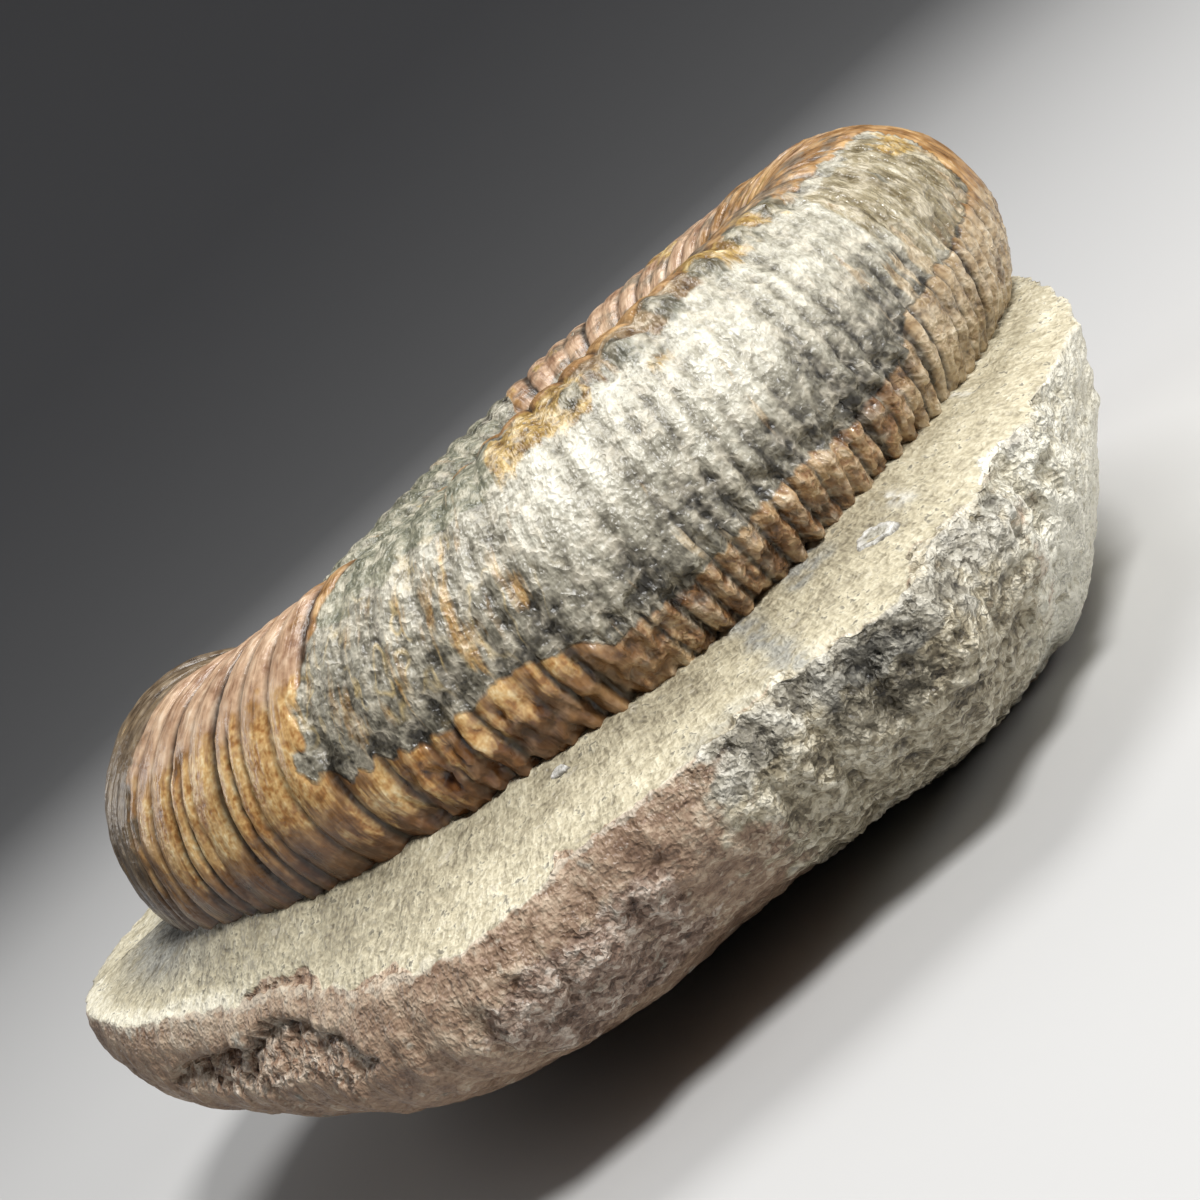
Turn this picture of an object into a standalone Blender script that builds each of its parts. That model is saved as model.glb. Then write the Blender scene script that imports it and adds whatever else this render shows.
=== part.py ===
"""Ammonite fossil standing proud of half of a rounded stone nodule.

Two pieces: the coiled ammonite, and the stone matrix that it sits in. Metres, +Z up.
The coil's axis is the Z axis, and the nodule rests on a flat facet at z = 0, under it.
Seen from above the coil grows clockwise. A turn count t runs back along the coil, from
0 at the mouth towards the centre.
"""

import math

import bmesh
import bpy
from mathutils import Vector

MM = 0.001

# Driving dimensions of the coil, in millimetres, degrees and turns
COIL_RADIUS = 38.4  # from the axis to the outer edge of the whorl, at the mouth
WHORL_HALF_BREADTH = 9.6  # across the disc, at the mouth
WHORL_HALF_HEIGHT = 9.2  # along the radius, at the mouth
EXPANSION = 1.5  # growth of every size in one turn
MOUTH_ANGLE = 173.0  # from +X, anticlockwise
TURNS = 4.4
STEPS_PER_TURN = 60
FLANK_STRIPS = 2  # strips on the part of a whorl's side that the next whorl leaves bare
OUTER_STRIPS = 14  # strips on the part that the next whorl covers

# Driving dimensions of the stone, in millimetres
MEDIAN_HEIGHT = 22.4  # the coil's median plane over the resting facet
SOCKET_GAP = 0.3
FACE_REACH = 5.0  # how far the prepared face runs on under the ammonite, to be cut away
PLUG_TOP = -1.0  # stone under the middle of the coil, before it is cut away
PLUG_RADIUS = 9.0
SKIN_RINGS = 7
STONE_SECTORS = 60
SIDE_POWER = 1.37  # roundness of the skin towards the facet
DEPTH_POWER = 1.87  # roundness of the skin below the rim

# The stone's outline by direction. Heights are over the coil's median plane.
# angle, rim radius, rim height, face height at the whorl, bulge of the skin, facet radius
STATIONS = [
    (158, 46.6, -2.9, -2.6, 3.6, 15.0),
    (180, 47.2, -3.2, -2.4, 4.0, 13.4),
    (205, 41.3, -4.8, -1.9, 6.4, 12.2),
    (225, 41.2, -6.3, -3.5, 8.3, 13.4),
    (240, 44.2, -7.5, -4.1, 6.6, 12.6),
    (255, 42.8, -7.6, -5.0, 3.8, 12.0),
    (270, 41.6, -8.0, -6.1, 3.2, 14.8),
    (280, 42.6, -8.7, -6.0, 2.7, 18.9),
    (290, 39.9, -8.5, -5.8, 1.3, 21.6),
    (305, 37.2, -8.1, -6.2, -0.9, 24.4),
    (320, 34.8, -8.0, -6.4, -2.6, 23.6),
    (335, 31.2, -7.0, -6.4, -4.2, 22.2),
    (355, 29.7, -7.5, -6.5, -5.0, 19.8),
    (380, 30.2, -8.2, -6.4, -2.0, 18.0),
    (410, 32.8, -8.2, -6.0, 0.5, 17.5),
    (450, 35.6, -7.4, -5.5, 2.0, 17.0),
    (490, 39.6, -5.2, -4.2, 3.2, 16.0),
]


def clear_scene():
    for thing in list(bpy.data.objects):
        bpy.data.objects.remove(thing, do_unlink=True)


# The coil


def growth(turn):
    return EXPANSION**-turn


def section_point(turn, angle):
    """(radius, height) of the whorl's surface. Angle 0 is the outer edge and 90 is the top."""
    size = growth(turn)
    centre = (COIL_RADIUS - WHORL_HALF_HEIGHT) * size
    radius = centre + WHORL_HALF_HEIGHT * size * math.cos(math.radians(angle))
    return radius, WHORL_HALF_BREADTH * size * math.sin(math.radians(angle))


def seam_angles():
    """The angles at which a whorl meets the one inside it and the one outside it."""

    def clearance(angle):
        radius, height = section_point(0, angle)
        centre = (COIL_RADIUS - WHORL_HALF_HEIGHT) * growth(1)
        across = (radius - centre) / (WHORL_HALF_HEIGHT * growth(1))
        up = height / (WHORL_HALF_BREADTH * growth(1))
        return math.hypot(across, up) - 1

    near, far = 90.0, 180.0
    for _ in range(50):
        middle = (near + far) / 2
        if clearance(middle) > 0:
            near = middle
        else:
            far = middle
    radius, height = section_point(0, near)
    inner_radius, inner_height = radius / growth(1), height / growth(1)
    outer = math.atan2(
        inner_height / WHORL_HALF_BREADTH,
        (inner_radius - COIL_RADIUS + WHORL_HALF_HEIGHT) / WHORL_HALF_HEIGHT,
    )
    return near, math.degrees(outer)


def around(radius, height, angle):
    """A point in metres, from a radius and a height over the median plane in millimetres."""
    turned = math.radians(angle)
    spot = Vector((radius * math.cos(turned), radius * math.sin(turned), height + MEDIAN_HEIGHT))
    return spot * MM


def coil_point(turn, angle):
    radius, height = section_point(turn, angle)
    return around(radius, height, MOUTH_ANGLE + 360 * turn)


def spread(start, end, strips):
    return [start + (end - start) * i / strips for i in range(strips + 1)]


def coil_columns():
    """Section angles of the last whorl's lines, from its upper seam over the edge to its lower one."""
    inner, outer = seam_angles()
    flank = spread(inner, outer, FLANK_STRIPS)
    edge = spread(outer, -outer, OUTER_STRIPS)
    return flank + edge[1:] + [-angle for angle in reversed(flank)][1:]


def add_ammonite(name):
    """The whole coil. A whorl's seam lines are shared with the next whorl out, which covers it."""
    columns = coil_columns()
    last = len(columns) - 1
    steps = round(TURNS * STEPS_PER_TURN)
    shape = bmesh.new()
    upper, lower = FLANK_STRIPS, last - FLANK_STRIPS
    corner = {}
    for step in range(steps + 1):
        turn_out = step - STEPS_PER_TURN
        for column in range(last + 1):
            if turn_out >= 0 and column == upper:
                corner[step, column] = corner[turn_out, 0]
            elif turn_out >= 0 and column == lower:
                corner[step, column] = corner[turn_out, last]
            elif turn_out <= 0 or not upper < column < lower:
                spot = coil_point(step / STEPS_PER_TURN, columns[column])
                corner[step, column] = shape.verts.new(spot)
    for step in range(steps):
        for column in range(last):
            if step >= STEPS_PER_TURN and upper <= column < lower:
                continue
            shape.faces.new(
                (
                    corner[step, column],
                    corner[step + 1, column],
                    corner[step + 1, column + 1],
                    corner[step, column + 1],
                )
            )
    close_mouth(shape, corner, last)
    close_centre(shape, corner, steps, range(0, FLANK_STRIPS + 1), 0)
    close_centre(shape, corner, steps, range(last, last - FLANK_STRIPS - 1, -1), last)
    bmesh.ops.recalc_face_normals(shape, faces=shape.faces)
    return add_object(name, shape)


def close_mouth(shape, corner, last):
    """A crescent wall between the whorl's edge at the mouth and the older whorl under it."""
    rim = [corner[0, column] for column in range(last + 1)]
    old = [corner[STEPS_PER_TURN, c] for c in range(FLANK_STRIPS, last - FLANK_STRIPS + 1)]
    edges = [shape.edges.get(pair) for pair in zip(rim, rim[1:])]
    edges += [shape.edges.get(pair) for pair in zip(old, old[1:])]
    bmesh.ops.triangle_fill(shape, use_beauty=True, edges=edges)


def close_centre(shape, corner, steps, columns, seam):
    """A small cap over the first chamber, on one side of the disc."""
    loop = [corner[step, seam] for step in range(steps - STEPS_PER_TURN, steps)]
    loop += [corner[steps, column] for column in columns][:-1]
    middle = sum((vert.co for vert in loop), Vector()) / len(loop)
    peak = shape.verts.new(middle)
    for one, two in zip(loop, loop[1:] + loop[:1]):
        shape.faces.new((one, two, peak))


# The stone


def station_value(angle, column):
    """A station's value at any direction, by a smooth curve through the stations."""
    first = STATIONS[0][0]
    angle = first + (angle - first) % 360
    count = len(STATIONS)
    spots = [
        (STATIONS[i % count][0] + 360 * (i // count), STATIONS[i % count][column])
        for i in range(-2, count + 3)
    ]
    for i in range(1, len(spots) - 2):
        (a0, v0), (a1, v1), (a2, v2), (a3, v3) = spots[i - 1 : i + 3]
        if a1 <= angle <= a2:
            span = a2 - a1
            share = (angle - a1) / span
            leave = (v2 - v0) / (a2 - a0) * span
            reach = (v3 - v1) / (a3 - a1) * span
            square, cube = share**2, share**3
            return (
                v1 * (2 * cube - 3 * square + 1)
                + leave * (cube - 2 * square + share)
                + v2 * (3 * square - 2 * cube)
                + reach * (cube - square)
            )
    raise ValueError(angle)


def contact_radius(angle, height):
    """Where a level at this height meets the outside of the coil."""
    size = growth((angle - MOUTH_ANGLE) % 360 / 360)
    rise = height / (WHORL_HALF_BREADTH * size)
    centre = COIL_RADIUS - WHORL_HALF_HEIGHT
    return size * (centre + WHORL_HALF_HEIGHT * math.sqrt(1 - rise**2))


def stone_profile(angle):
    """(radius, height) pairs from the middle of the top, over the rim, to the facet."""
    rim, rim_height, face_height, bulge, facet = (station_value(angle, c) for c in range(1, 6))
    meets = contact_radius(angle, face_height)
    slope = (rim_height - face_height) / (rim - meets)
    start = meets - FACE_REACH
    points = [
        (PLUG_RADIUS, PLUG_TOP),
        (start, face_height - slope * FACE_REACH),
        (rim, rim_height),
    ]
    for ring in range(1, SKIN_RINGS + 1):
        bend = math.radians(90 * ring / SKIN_RINGS)
        inward = math.cos(bend) ** (2 / SIDE_POWER) if ring < SKIN_RINGS else 0
        radius = facet + (rim - facet) * inward + bulge * math.sin(2 * bend)
        drop = math.sin(bend) ** (2 / DEPTH_POWER)
        points.append((radius, rim_height - (MEDIAN_HEIGHT + rim_height) * drop))
    return points


def add_stone(name):
    shape = bmesh.new()
    top = shape.verts.new(around(0, PLUG_TOP, 0))
    rings = []
    for sector in range(STONE_SECTORS):
        angle = 360 * sector / STONE_SECTORS
        rings.append([shape.verts.new(around(r, h, angle)) for r, h in stone_profile(angle)])
    for one, two in zip(rings, rings[1:] + rings[:1]):
        shape.faces.new((top, one[0], two[0]))
        for i in range(len(one) - 1):
            shape.faces.new((one[i], one[i + 1], two[i + 1], two[i]))
    shape.faces.new([ring[-1] for ring in reversed(rings)])
    bmesh.ops.recalc_face_normals(shape, faces=shape.faces)
    return add_object(name, shape)


def cut_socket(stone, ammonite):
    """Cuts the stone to the ammonite's underside, with an even gap."""
    cutter = ammonite.copy()
    cutter.name = "socket_cutter"
    cutter.data = ammonite.data.copy()
    bpy.context.collection.objects.link(cutter)
    cutter.hide_render = True
    cutter.display_type = "WIRE"
    swell = cutter.modifiers.new("gap", "DISPLACE")
    swell.mid_level = 0
    swell.strength = SOCKET_GAP * MM
    cut = stone.modifiers.new("socket", "BOOLEAN")
    cut.operation = "DIFFERENCE"
    cut.solver = "EXACT"
    cut.object = cutter


# Objects and materials


def add_object(name, shape):
    mesh = bpy.data.meshes.new(name)
    shape.to_mesh(mesh)
    shape.free()
    mesh.shade_smooth()
    mesh.set_sharp_from_angle(angle=math.radians(35))
    thing = bpy.data.objects.new(name, mesh)
    bpy.context.collection.objects.link(thing)
    return thing


def paint(thing, name, colour, roughness, metallic):
    material = bpy.data.materials.new(name)
    material.use_nodes = True
    shader = material.node_tree.nodes["Principled BSDF"]
    shader.inputs["Base Color"].default_value = (*colour, 1)
    shader.inputs["Roughness"].default_value = roughness
    shader.inputs["Metallic"].default_value = metallic
    thing.data.materials.append(material)


def main():
    clear_scene()
    ammonite = add_ammonite("ammonite")
    paint(ammonite, "brown shell", (0.27, 0.19, 0.12), 0.4, 0.1)
    stone = add_stone("matrix")
    paint(stone, "grey stone", (0.38, 0.35, 0.30), 0.85, 0.0)
    cut_socket(stone, ammonite)


main()
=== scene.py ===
"""Fine surface and finish of an ammonite fossil that stands out of half a stone nodule.

The fossil and its stone are two fine meshes that take the place of the plain ones in the frame.
Each is worked out on coordinates of its own: the coil by turns back from its mouth and by the
angle round its section, the stone by direction and by the way down its profile. Relief and
finish read the same maps of shell, bare mould, worked face and skin, so they agree.
Lengths are in millimetres until a mesh is made.
"""

import itertools
import math

import bpy
import numpy as np
from mathutils import Matrix, Vector


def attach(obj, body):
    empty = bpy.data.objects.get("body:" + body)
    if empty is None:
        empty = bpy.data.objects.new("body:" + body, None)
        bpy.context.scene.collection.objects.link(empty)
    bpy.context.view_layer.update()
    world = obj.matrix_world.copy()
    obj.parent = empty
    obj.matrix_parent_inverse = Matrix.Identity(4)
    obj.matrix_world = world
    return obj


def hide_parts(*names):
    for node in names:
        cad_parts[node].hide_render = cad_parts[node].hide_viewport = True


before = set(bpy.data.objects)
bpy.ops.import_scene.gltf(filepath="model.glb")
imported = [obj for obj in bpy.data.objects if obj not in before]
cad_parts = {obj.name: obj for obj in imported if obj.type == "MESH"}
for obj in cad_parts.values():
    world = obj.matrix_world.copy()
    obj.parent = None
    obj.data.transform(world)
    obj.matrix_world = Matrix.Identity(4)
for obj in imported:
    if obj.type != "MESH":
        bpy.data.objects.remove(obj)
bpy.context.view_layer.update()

MM = 0.001

# The coil, as the frame holds it, in millimetres, degrees and turns
COIL_RADIUS = 38.4
HALF_BREADTH = 9.6
HALF_HEIGHT = 9.2
EXPANSION = 1.5
MOUTH_ANGLE = 173.0
MEDIAN_HEIGHT = 22.4
WHORL_STEP = (COIL_RADIUS - HALF_HEIGHT) * (1 - 1 / EXPANSION) / HALF_HEIGHT
SEAM_COSINE = (EXPANSION**-2 - 1 - WHORL_STEP**2) / (2 * WHORL_STEP)
UPPER_SEAM = math.degrees(math.acos(SEAM_COSINE))  # where a whorl meets the one inside it
COVERED_FROM = math.degrees(math.acos(EXPANSION * (WHORL_STEP + SEAM_COSINE)))  # and outside it

# The stone, by direction: angle, rim radius, rim height, face height, bulge, facet radius
STATIONS = [
    (158, 46.6, -2.9, -2.6, 3.6, 15.0),
    (180, 47.2, -3.2, -2.4, 4.0, 13.4),
    (205, 41.3, -4.8, -1.9, 6.4, 12.2),
    (225, 41.2, -6.3, -3.5, 8.3, 13.4),
    (240, 44.2, -7.5, -4.1, 6.6, 12.6),
    (255, 42.8, -7.6, -5.0, 3.8, 12.0),
    (270, 41.6, -8.0, -6.1, 3.2, 14.8),
    (280, 42.6, -8.7, -6.0, 2.7, 18.9),
    (290, 39.9, -8.5, -5.8, 1.3, 21.6),
    (305, 37.2, -8.1, -6.2, -0.9, 24.4),
    (320, 34.8, -8.0, -6.4, -2.6, 23.6),
    (335, 31.2, -7.0, -6.4, -4.2, 22.2),
    (355, 29.7, -7.5, -6.5, -5.0, 19.8),
    (380, 30.2, -8.2, -6.4, -2.0, 18.0),
    (410, 32.8, -8.2, -6.0, 0.5, 17.5),
    (450, 35.6, -7.4, -5.5, 2.0, 17.0),
    (490, 39.6, -5.2, -4.2, 3.2, 16.0),
]
# The profile from the rim to the foot is a quarter of an oval with these powers
SIDE_POWER = 1.37
DEPTH_POWER = 1.87
SOCKET_TOP = -9.4  # height of the stone under the middle of the coil
SOCKET_START = -118.0  # section angle at which the socket starts to follow the coil
SOCKET_GAP = 0.3
FACE_OVERLAP = 0.5  # how far the worked face runs in under the coil
COLUMN_SLIVER = 0.04  # degrees from the mouth's direction to the first and last column
STONE_REACH = 38.0  # a usual radius of the stone, which turns directions into lengths

# How finely the meshes are divided
FINE_FROM, FINE_TO = 184.0, 342.0  # the side that carries the closest detail
FINE_STEP, PLAIN_STEP = 0.33, 0.68  # degrees along the coil
STONE_FINE_STEP, STONE_PLAIN_STEP = 0.40, 0.95
STONE_ROWS = {"socket": 5, "face": 44, "skin": 74}
SKIN_SPACING = 1.25  # over 1, the rows of the skin lie closer together near the rim


# Random relief that is the same each time. Each use has a seed of its own.


def corner_number(x, y, z, seed):
    """A fixed 32-bit number for each whole-numbered corner."""
    mixed = (x * 374761393 + y * 668265263 + z * 1440662683 + seed * 1013904223) & 0xFFFFFFFF
    mixed = ((mixed ^ (mixed >> 13)) * 1274126177) & 0xFFFFFFFF
    mixed = ((mixed ^ (mixed >> 15)) * 2246822519) & 0xFFFFFFFF
    return mixed ^ (mixed >> 16)


def corner_spot(mixed):
    """Three numbers from 0 to 1 out of each corner's number."""
    return np.stack([(mixed >> shift & 1023) / 1023 for shift in (0, 10, 20)], axis=-1)


def soft_noise(points, seed):
    """Smooth random values from about -1 to 1, with about one bump to each unit of length."""
    low = np.floor(points).astype(np.int64)
    inside = points - low
    fade = inside**3 * (inside * (inside * 6 - 15) + 10)
    total = np.zeros(len(points))
    for corner in itertools.product((0, 1), repeat=3):
        spot = low + corner
        slope = corner_spot(corner_number(spot[:, 0], spot[:, 1], spot[:, 2], seed)) * 2 - 1
        share = np.prod(np.where(corner, fade, 1 - fade), axis=1)
        total += share * np.sum(slope * (inside - corner), axis=1)
    return total * 1.7


def layered(points, size, seed, layers=3, keep=0.5, shape=None):
    """Random relief with bumps of about this size and finer ones on them."""
    relief, strength, whole = np.zeros(len(points)), 1.0, 0.0
    for layer in range(layers):
        bumps = soft_noise(points / size * 2**layer, seed + layer)
        relief += strength * (shape(bumps) if shape else bumps)
        whole += strength
        strength *= keep
    return relief / whole


def ridged(bumps):
    return 1 - 3 * np.abs(bumps)


def craggy(points, size, seed, layers=3, keep=0.5):
    """Random relief from about -1 to 1 with sharp ridges and round hollows."""
    return layered(points, size, seed, layers, keep, ridged)


def grain_centres(points, size, seed):
    """Distance to the nearest scattered grain, in grains, and a number from 0 to 1 for it."""
    scaled = points / size
    low = np.floor(scaled).astype(np.int64)
    best = np.full(len(points), 9.0)
    name = np.zeros(len(points))
    for corner in itertools.product((-1, 0, 1), repeat=3):
        spot = low + corner
        mixed = corner_number(spot[:, 0], spot[:, 1], spot[:, 2], seed)
        distance = np.linalg.norm(spot + corner_spot(mixed) - scaled, axis=1)
        closer = distance < best
        best = np.where(closer, distance, best)
        name = np.where(closer, (mixed >> 7 & 255) / 255, name)
    return best, name


def smooth(low, high, value):
    """0 up to low and 1 from high on, or the other way round where high is the lower."""
    share = np.clip((value - low) / (high - low), 0, 1)
    return share * share * (3 - 2 * share)


def between(value, low, high, soft):
    """1 between two limits, with soft edges."""
    return smooth(low - soft, low + soft, value) * smooth(high + soft, high - soft, value)


def area(direction, level, left, right, fade, low, high, level_fade):
    """1 on the area between two directions and two levels, with soft edges."""
    return between(direction, left, right, fade) * between(level, low, high, level_fade)


def mound(value, centre, half_width):
    """1 at the centre, falling off on both sides of it."""
    return np.exp(-(((value - centre) / half_width) ** 2))


def mix(share, one, two):
    """From one value at share 0 to the other at share 1."""
    return one + (two - one) * share


# The coil's shape


def growth(turn):
    """Size of the coil's section at a place, where the section at the mouth is 1."""
    return EXPANSION**-turn


def coil_section(turn, angle):
    """(radius, height) of the smooth coil. Angle 0 is the outer edge and 90 is the top."""
    size = growth(turn)
    radius = (COIL_RADIUS - HALF_HEIGHT + HALF_HEIGHT * np.cos(np.radians(angle))) * size
    return radius, HALF_BREADTH * size * np.sin(np.radians(angle))


def coil_outward(angle):
    """(radial, upward) parts of the direction out of the section's outline."""
    along = np.cos(np.radians(angle)) / HALF_HEIGHT
    up = np.sin(np.radians(angle)) / HALF_BREADTH
    length = np.hypot(along, up)
    return along / length, up / length


def placed(radius, height, direction):
    """Points at these radii and heights, each in its own direction."""
    turned = np.radians(direction)
    return np.stack([radius * np.cos(turned), radius * np.sin(turned), height], axis=-1)


# Maps of the fossil's surface, on the direction along the first whorl and the section angle

DEGREE_ALONG = 0.6  # millimetres to a degree along the coil
DEGREE_ACROSS = 0.15  # millimetres to a degree round the section
SEEN_TURNS = 0.475  # beyond this the other side of the coil begins
RIB_ARCH = 2.6  # degrees that a rib arches towards the mouth over the outer edge
LUMP_STEP = 7.0  # degrees from one shoulder lump to the next

# Right edge of the shell that is left near the mouth: section angle, direction
MOUTH_SHELL_EDGE = ([-60, -30, 0, 8, 20, 30, 45, 70, 90, 130],
                    [236, 236, 237, 235, 232.5, 234, 235, 240, 242, 244])  # fmt: skip
# Top edge of the ribbed shell band next to the stone: direction, section angle
BAND_EDGE = ([236, 240, 245, 255, 259, 262, 270, 275, 285, 290, 300, 303, 306, 320, 330, 334, 338],
             [3, 5, 0, 0, -5, -15, -19, -16, -15, -18, -18, -8, -6, -3, 0, 30, 70])  # fmt: skip
# Edge of the shell that is left on the upper flank: direction, section angle
FLANK_EDGE = ([236, 250, 262, 266, 275, 285, 300, 315, 330, 345],
              [112, 108, 98, 88, 82, 76, 72, 66, 60, 50])  # fmt: skip
# Small pits: direction, section angle, half width in degrees along the coil, depth in millimetres
FOSSIL_PITS = (
    (235.3, 20, 0.9, 0.45), (307, 68, 1.2, 0.5), (310, 62, 1.2, 0.5), (331, 34, 1.1, 0.4),
    (257.3, -26, 0.8, 0.4), (294, -14, 1.0, 0.5), (286.3, -14, 0.8, 0.4), (291.5, -26, 0.9, 0.5),
    (283, -25, 0.8, 0.4), (267, -24, 0.9, 0.35), (300.5, -9, 0.7, 0.3), (223.4, 15, 0.5, 0.3),
)  # fmt: skip


def drawn_out(turn, angle, narrow, long):
    """Places for random relief that is drawn out along the ribs."""
    along = MOUTH_ANGLE + 360 * turn
    return np.stack([along * DEGREE_ALONG / narrow, angle * DEGREE_ACROSS / long, turn], axis=1)


def rib_count(turn):
    """How many main ribs lie between the mouth and a place on the coil."""
    return 80 * turn - 9 * turn**2 + 0.6 * turn**3


def rib_height(turn, angle):
    """Round ribs with sharp grooves, some of which split in two over the outer edge. 0 to 1."""
    arch = RIB_ARCH * np.sin(np.radians(angle)) ** 2
    place = rib_count(turn - arch / 360)
    opening = smooth(62, 44, np.abs(angle))
    all_split = smooth(-8, -15, angle) * smooth(0.235, 0.255, turn)
    higher = np.interp(turn, [0.36, 0.38, 0.395, 0.42, 0.46, 0.49], [-12, 0, 8, 26, 30, -12])
    all_split = np.maximum(all_split, smooth(higher, higher - 8, angle) * smooth(0.355, 0.37, turn))
    nearest = np.floor(place).astype(np.int64)
    height = np.zeros(len(place))
    for beside in (-1, 0, 1, 2):
        rib = nearest + beside
        chance = corner_spot(corner_number(rib, rib * 0, rib * 0, 5))
        splits = np.where(chance[:, 0] > 0.66, opening, all_split)
        middle = rib + (chance[:, 1] - 0.5) * 0.2
        strength = 0.84 + 0.16 * chance[:, 2]
        for side in (-1, 1):
            centre = middle + side * 0.25 * splits
            width = 0.60 - 0.33 * splits
            arc = np.sqrt(np.clip(1 - ((place - centre) / width) ** 2, 0, 1))
            height = np.maximum(height, strength * arc)
    return height


def far_mould(along, angle):
    """1 on the greenish mould that shows on the far flank of the first whorl."""
    return area(along, angle, 448, 520, 9, 28, 132, 8)


def shell_cover(turn, angle, points):
    """How far inside (+) or outside (-) the shell that is left a place lies, in millimetres."""
    along = MOUTH_ANGLE + 360 * turn
    bare = np.minimum.reduce([
        (along - np.interp(angle, *MOUTH_SHELL_EDGE)) * DEGREE_ALONG,
        (angle - np.interp(along, *BAND_EDGE)) * DEGREE_ACROSS,
        (np.interp(along, *FLANK_EDGE) - angle) * DEGREE_ACROSS,
        (338 - along) * DEGREE_ALONG,
    ])  # fmt: skip
    elsewhere = 0.9 + 3.2 * layered(points, 9.0, 31, 2) - 3.4 * far_mould(along, angle)
    cover = mix(smooth(SEEN_TURNS - 0.02, SEEN_TURNS + 0.02, turn), -bare, elsewhere)
    lobed = np.maximum(smooth(250, 242, along), 0.75 * smooth(296, 306, along))
    lobes = 1.1 * layered(drawn_out(turn, angle, 1.1, 4.0), 1.0, 33, 2) * lobed
    return cover + lobes + 0.45 * layered(points, 1.6, 35) + 0.25 * layered(points, 0.6, 37, 2)


def fossil_maps(turn, angle, points):
    """Values from 0 to 1 for each kind of surface, with the shell's cover in millimetres."""
    along = MOUTH_ANGLE + 360 * turn
    seen = smooth(SEEN_TURNS + 0.02, SEEN_TURNS - 0.02, turn)
    wander = layered(points, 3.0, 41)
    direction = along + 4.5 * wander
    level = angle + 9.0 * layered(points, 2.2, 45)
    ribs = rib_height(turn, angle)
    cover = shell_cover(turn, angle, points) + 0.25 * (ribs - 0.5)
    bare = smooth(0.15, -0.15, cover)
    frosted = between(direction, 259, 313, 6)
    frost = mix(smooth(4, 34, level) * smooth(80, 56, level), 0.20, 0.44)
    frost = mix(frosted, frost, mix(smooth(-20, 36, level), 0.24, 0.66))
    frost -= 0.30 * frosted * smooth(56, 68, level)
    frost += 0.12 * layered(points, 4.0, 47, 2)
    golden = np.maximum.reduce([
        area(direction, level, 263, 277, 3, 58, 84, 8),
        0.6 * area(direction, level, 281, 287, 3, 46, 56, 8),
        0.6 * area(direction, level, 294, 309, 3, 58, 84, 10),
        0.7 * area(direction, level, 329, 336, 3, 32, 48, 8),
    ])  # fmt: skip
    far = 1 - seen
    return {
        "cover": cover,
        "ribs": ribs,
        "frost": mix(seen, 0.25 + 0.5 * smooth(-0.2, 0.5, layered(points, 6.0, 51)), frost),
        "golden": golden * seen + far * 0.6 * smooth(0.15, 0.45, layered(points, 5.0, 55)),
        "streaked": area(direction, level, 234, 260, 5, 8, 60, 8) * bare * seen,
        "green": bare * np.maximum(
            area(direction, level, 236, 264, 3, 60, 112, 5) * seen,
            0.6 * far_mould(direction, level),
        ),
        "olive": area(direction, level, 310, 333, 5, -4, 58, 6) * bare * seen,
        # A rosy tone, and on the upper flank of the near side also a painted pinkish sheen
        "pink": seen * np.maximum(
            0.45 * between(direction, 296, 350, 6) * smooth(56, 72, level),
            0.8 * between(direction, 200, 238, 4) * smooth(34, 58, level),
        ) + far * np.maximum(
            0.7 * smooth(-0.1, 0.35, layered(points, 7.0, 59)), between(along, 385, 446, 8)
        ),
        "russet": smooth(26, -20, level) * smooth(270, 250, direction) * seen,
        "amber": seen * np.maximum(
            area(direction, level, 208, 256, 7, 4, 44, 13),
            0.55 * area(direction, level, 232, 262, 5, -18, 6, 8),
        ),
        "flaky": 0.5 * area(direction, level, 303, 340, 4, -8, 14, 9) * bare * seen,
        "umber": between(direction, 262, 345, 4) * smooth(-2, -12, level) * seen,
        "buff": between(direction, 300, 345, 6) * smooth(4, -6, level) * seen,
        "leaden": np.maximum.reduce([
            smooth(208, 196, direction) * seen,
            0.50 * between(direction, 294, 350, 6) * smooth(54, 70, level) * seen,
            0.40 * between(along, 360, 452, 10) * far,
        ]),
        "drab": between(direction, 277, 312, 4) * smooth(56, 68, level) * seen,
        "streaky": frosted * smooth(26, 4, level) * seen,
        "lumps": between(along, 272, 312, 5) * mound(angle, 66, 10) * (1 + np.cos(np.radians(
            (along - 281) / LUMP_STEP * 360))) / 2,
    }  # fmt: skip


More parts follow.
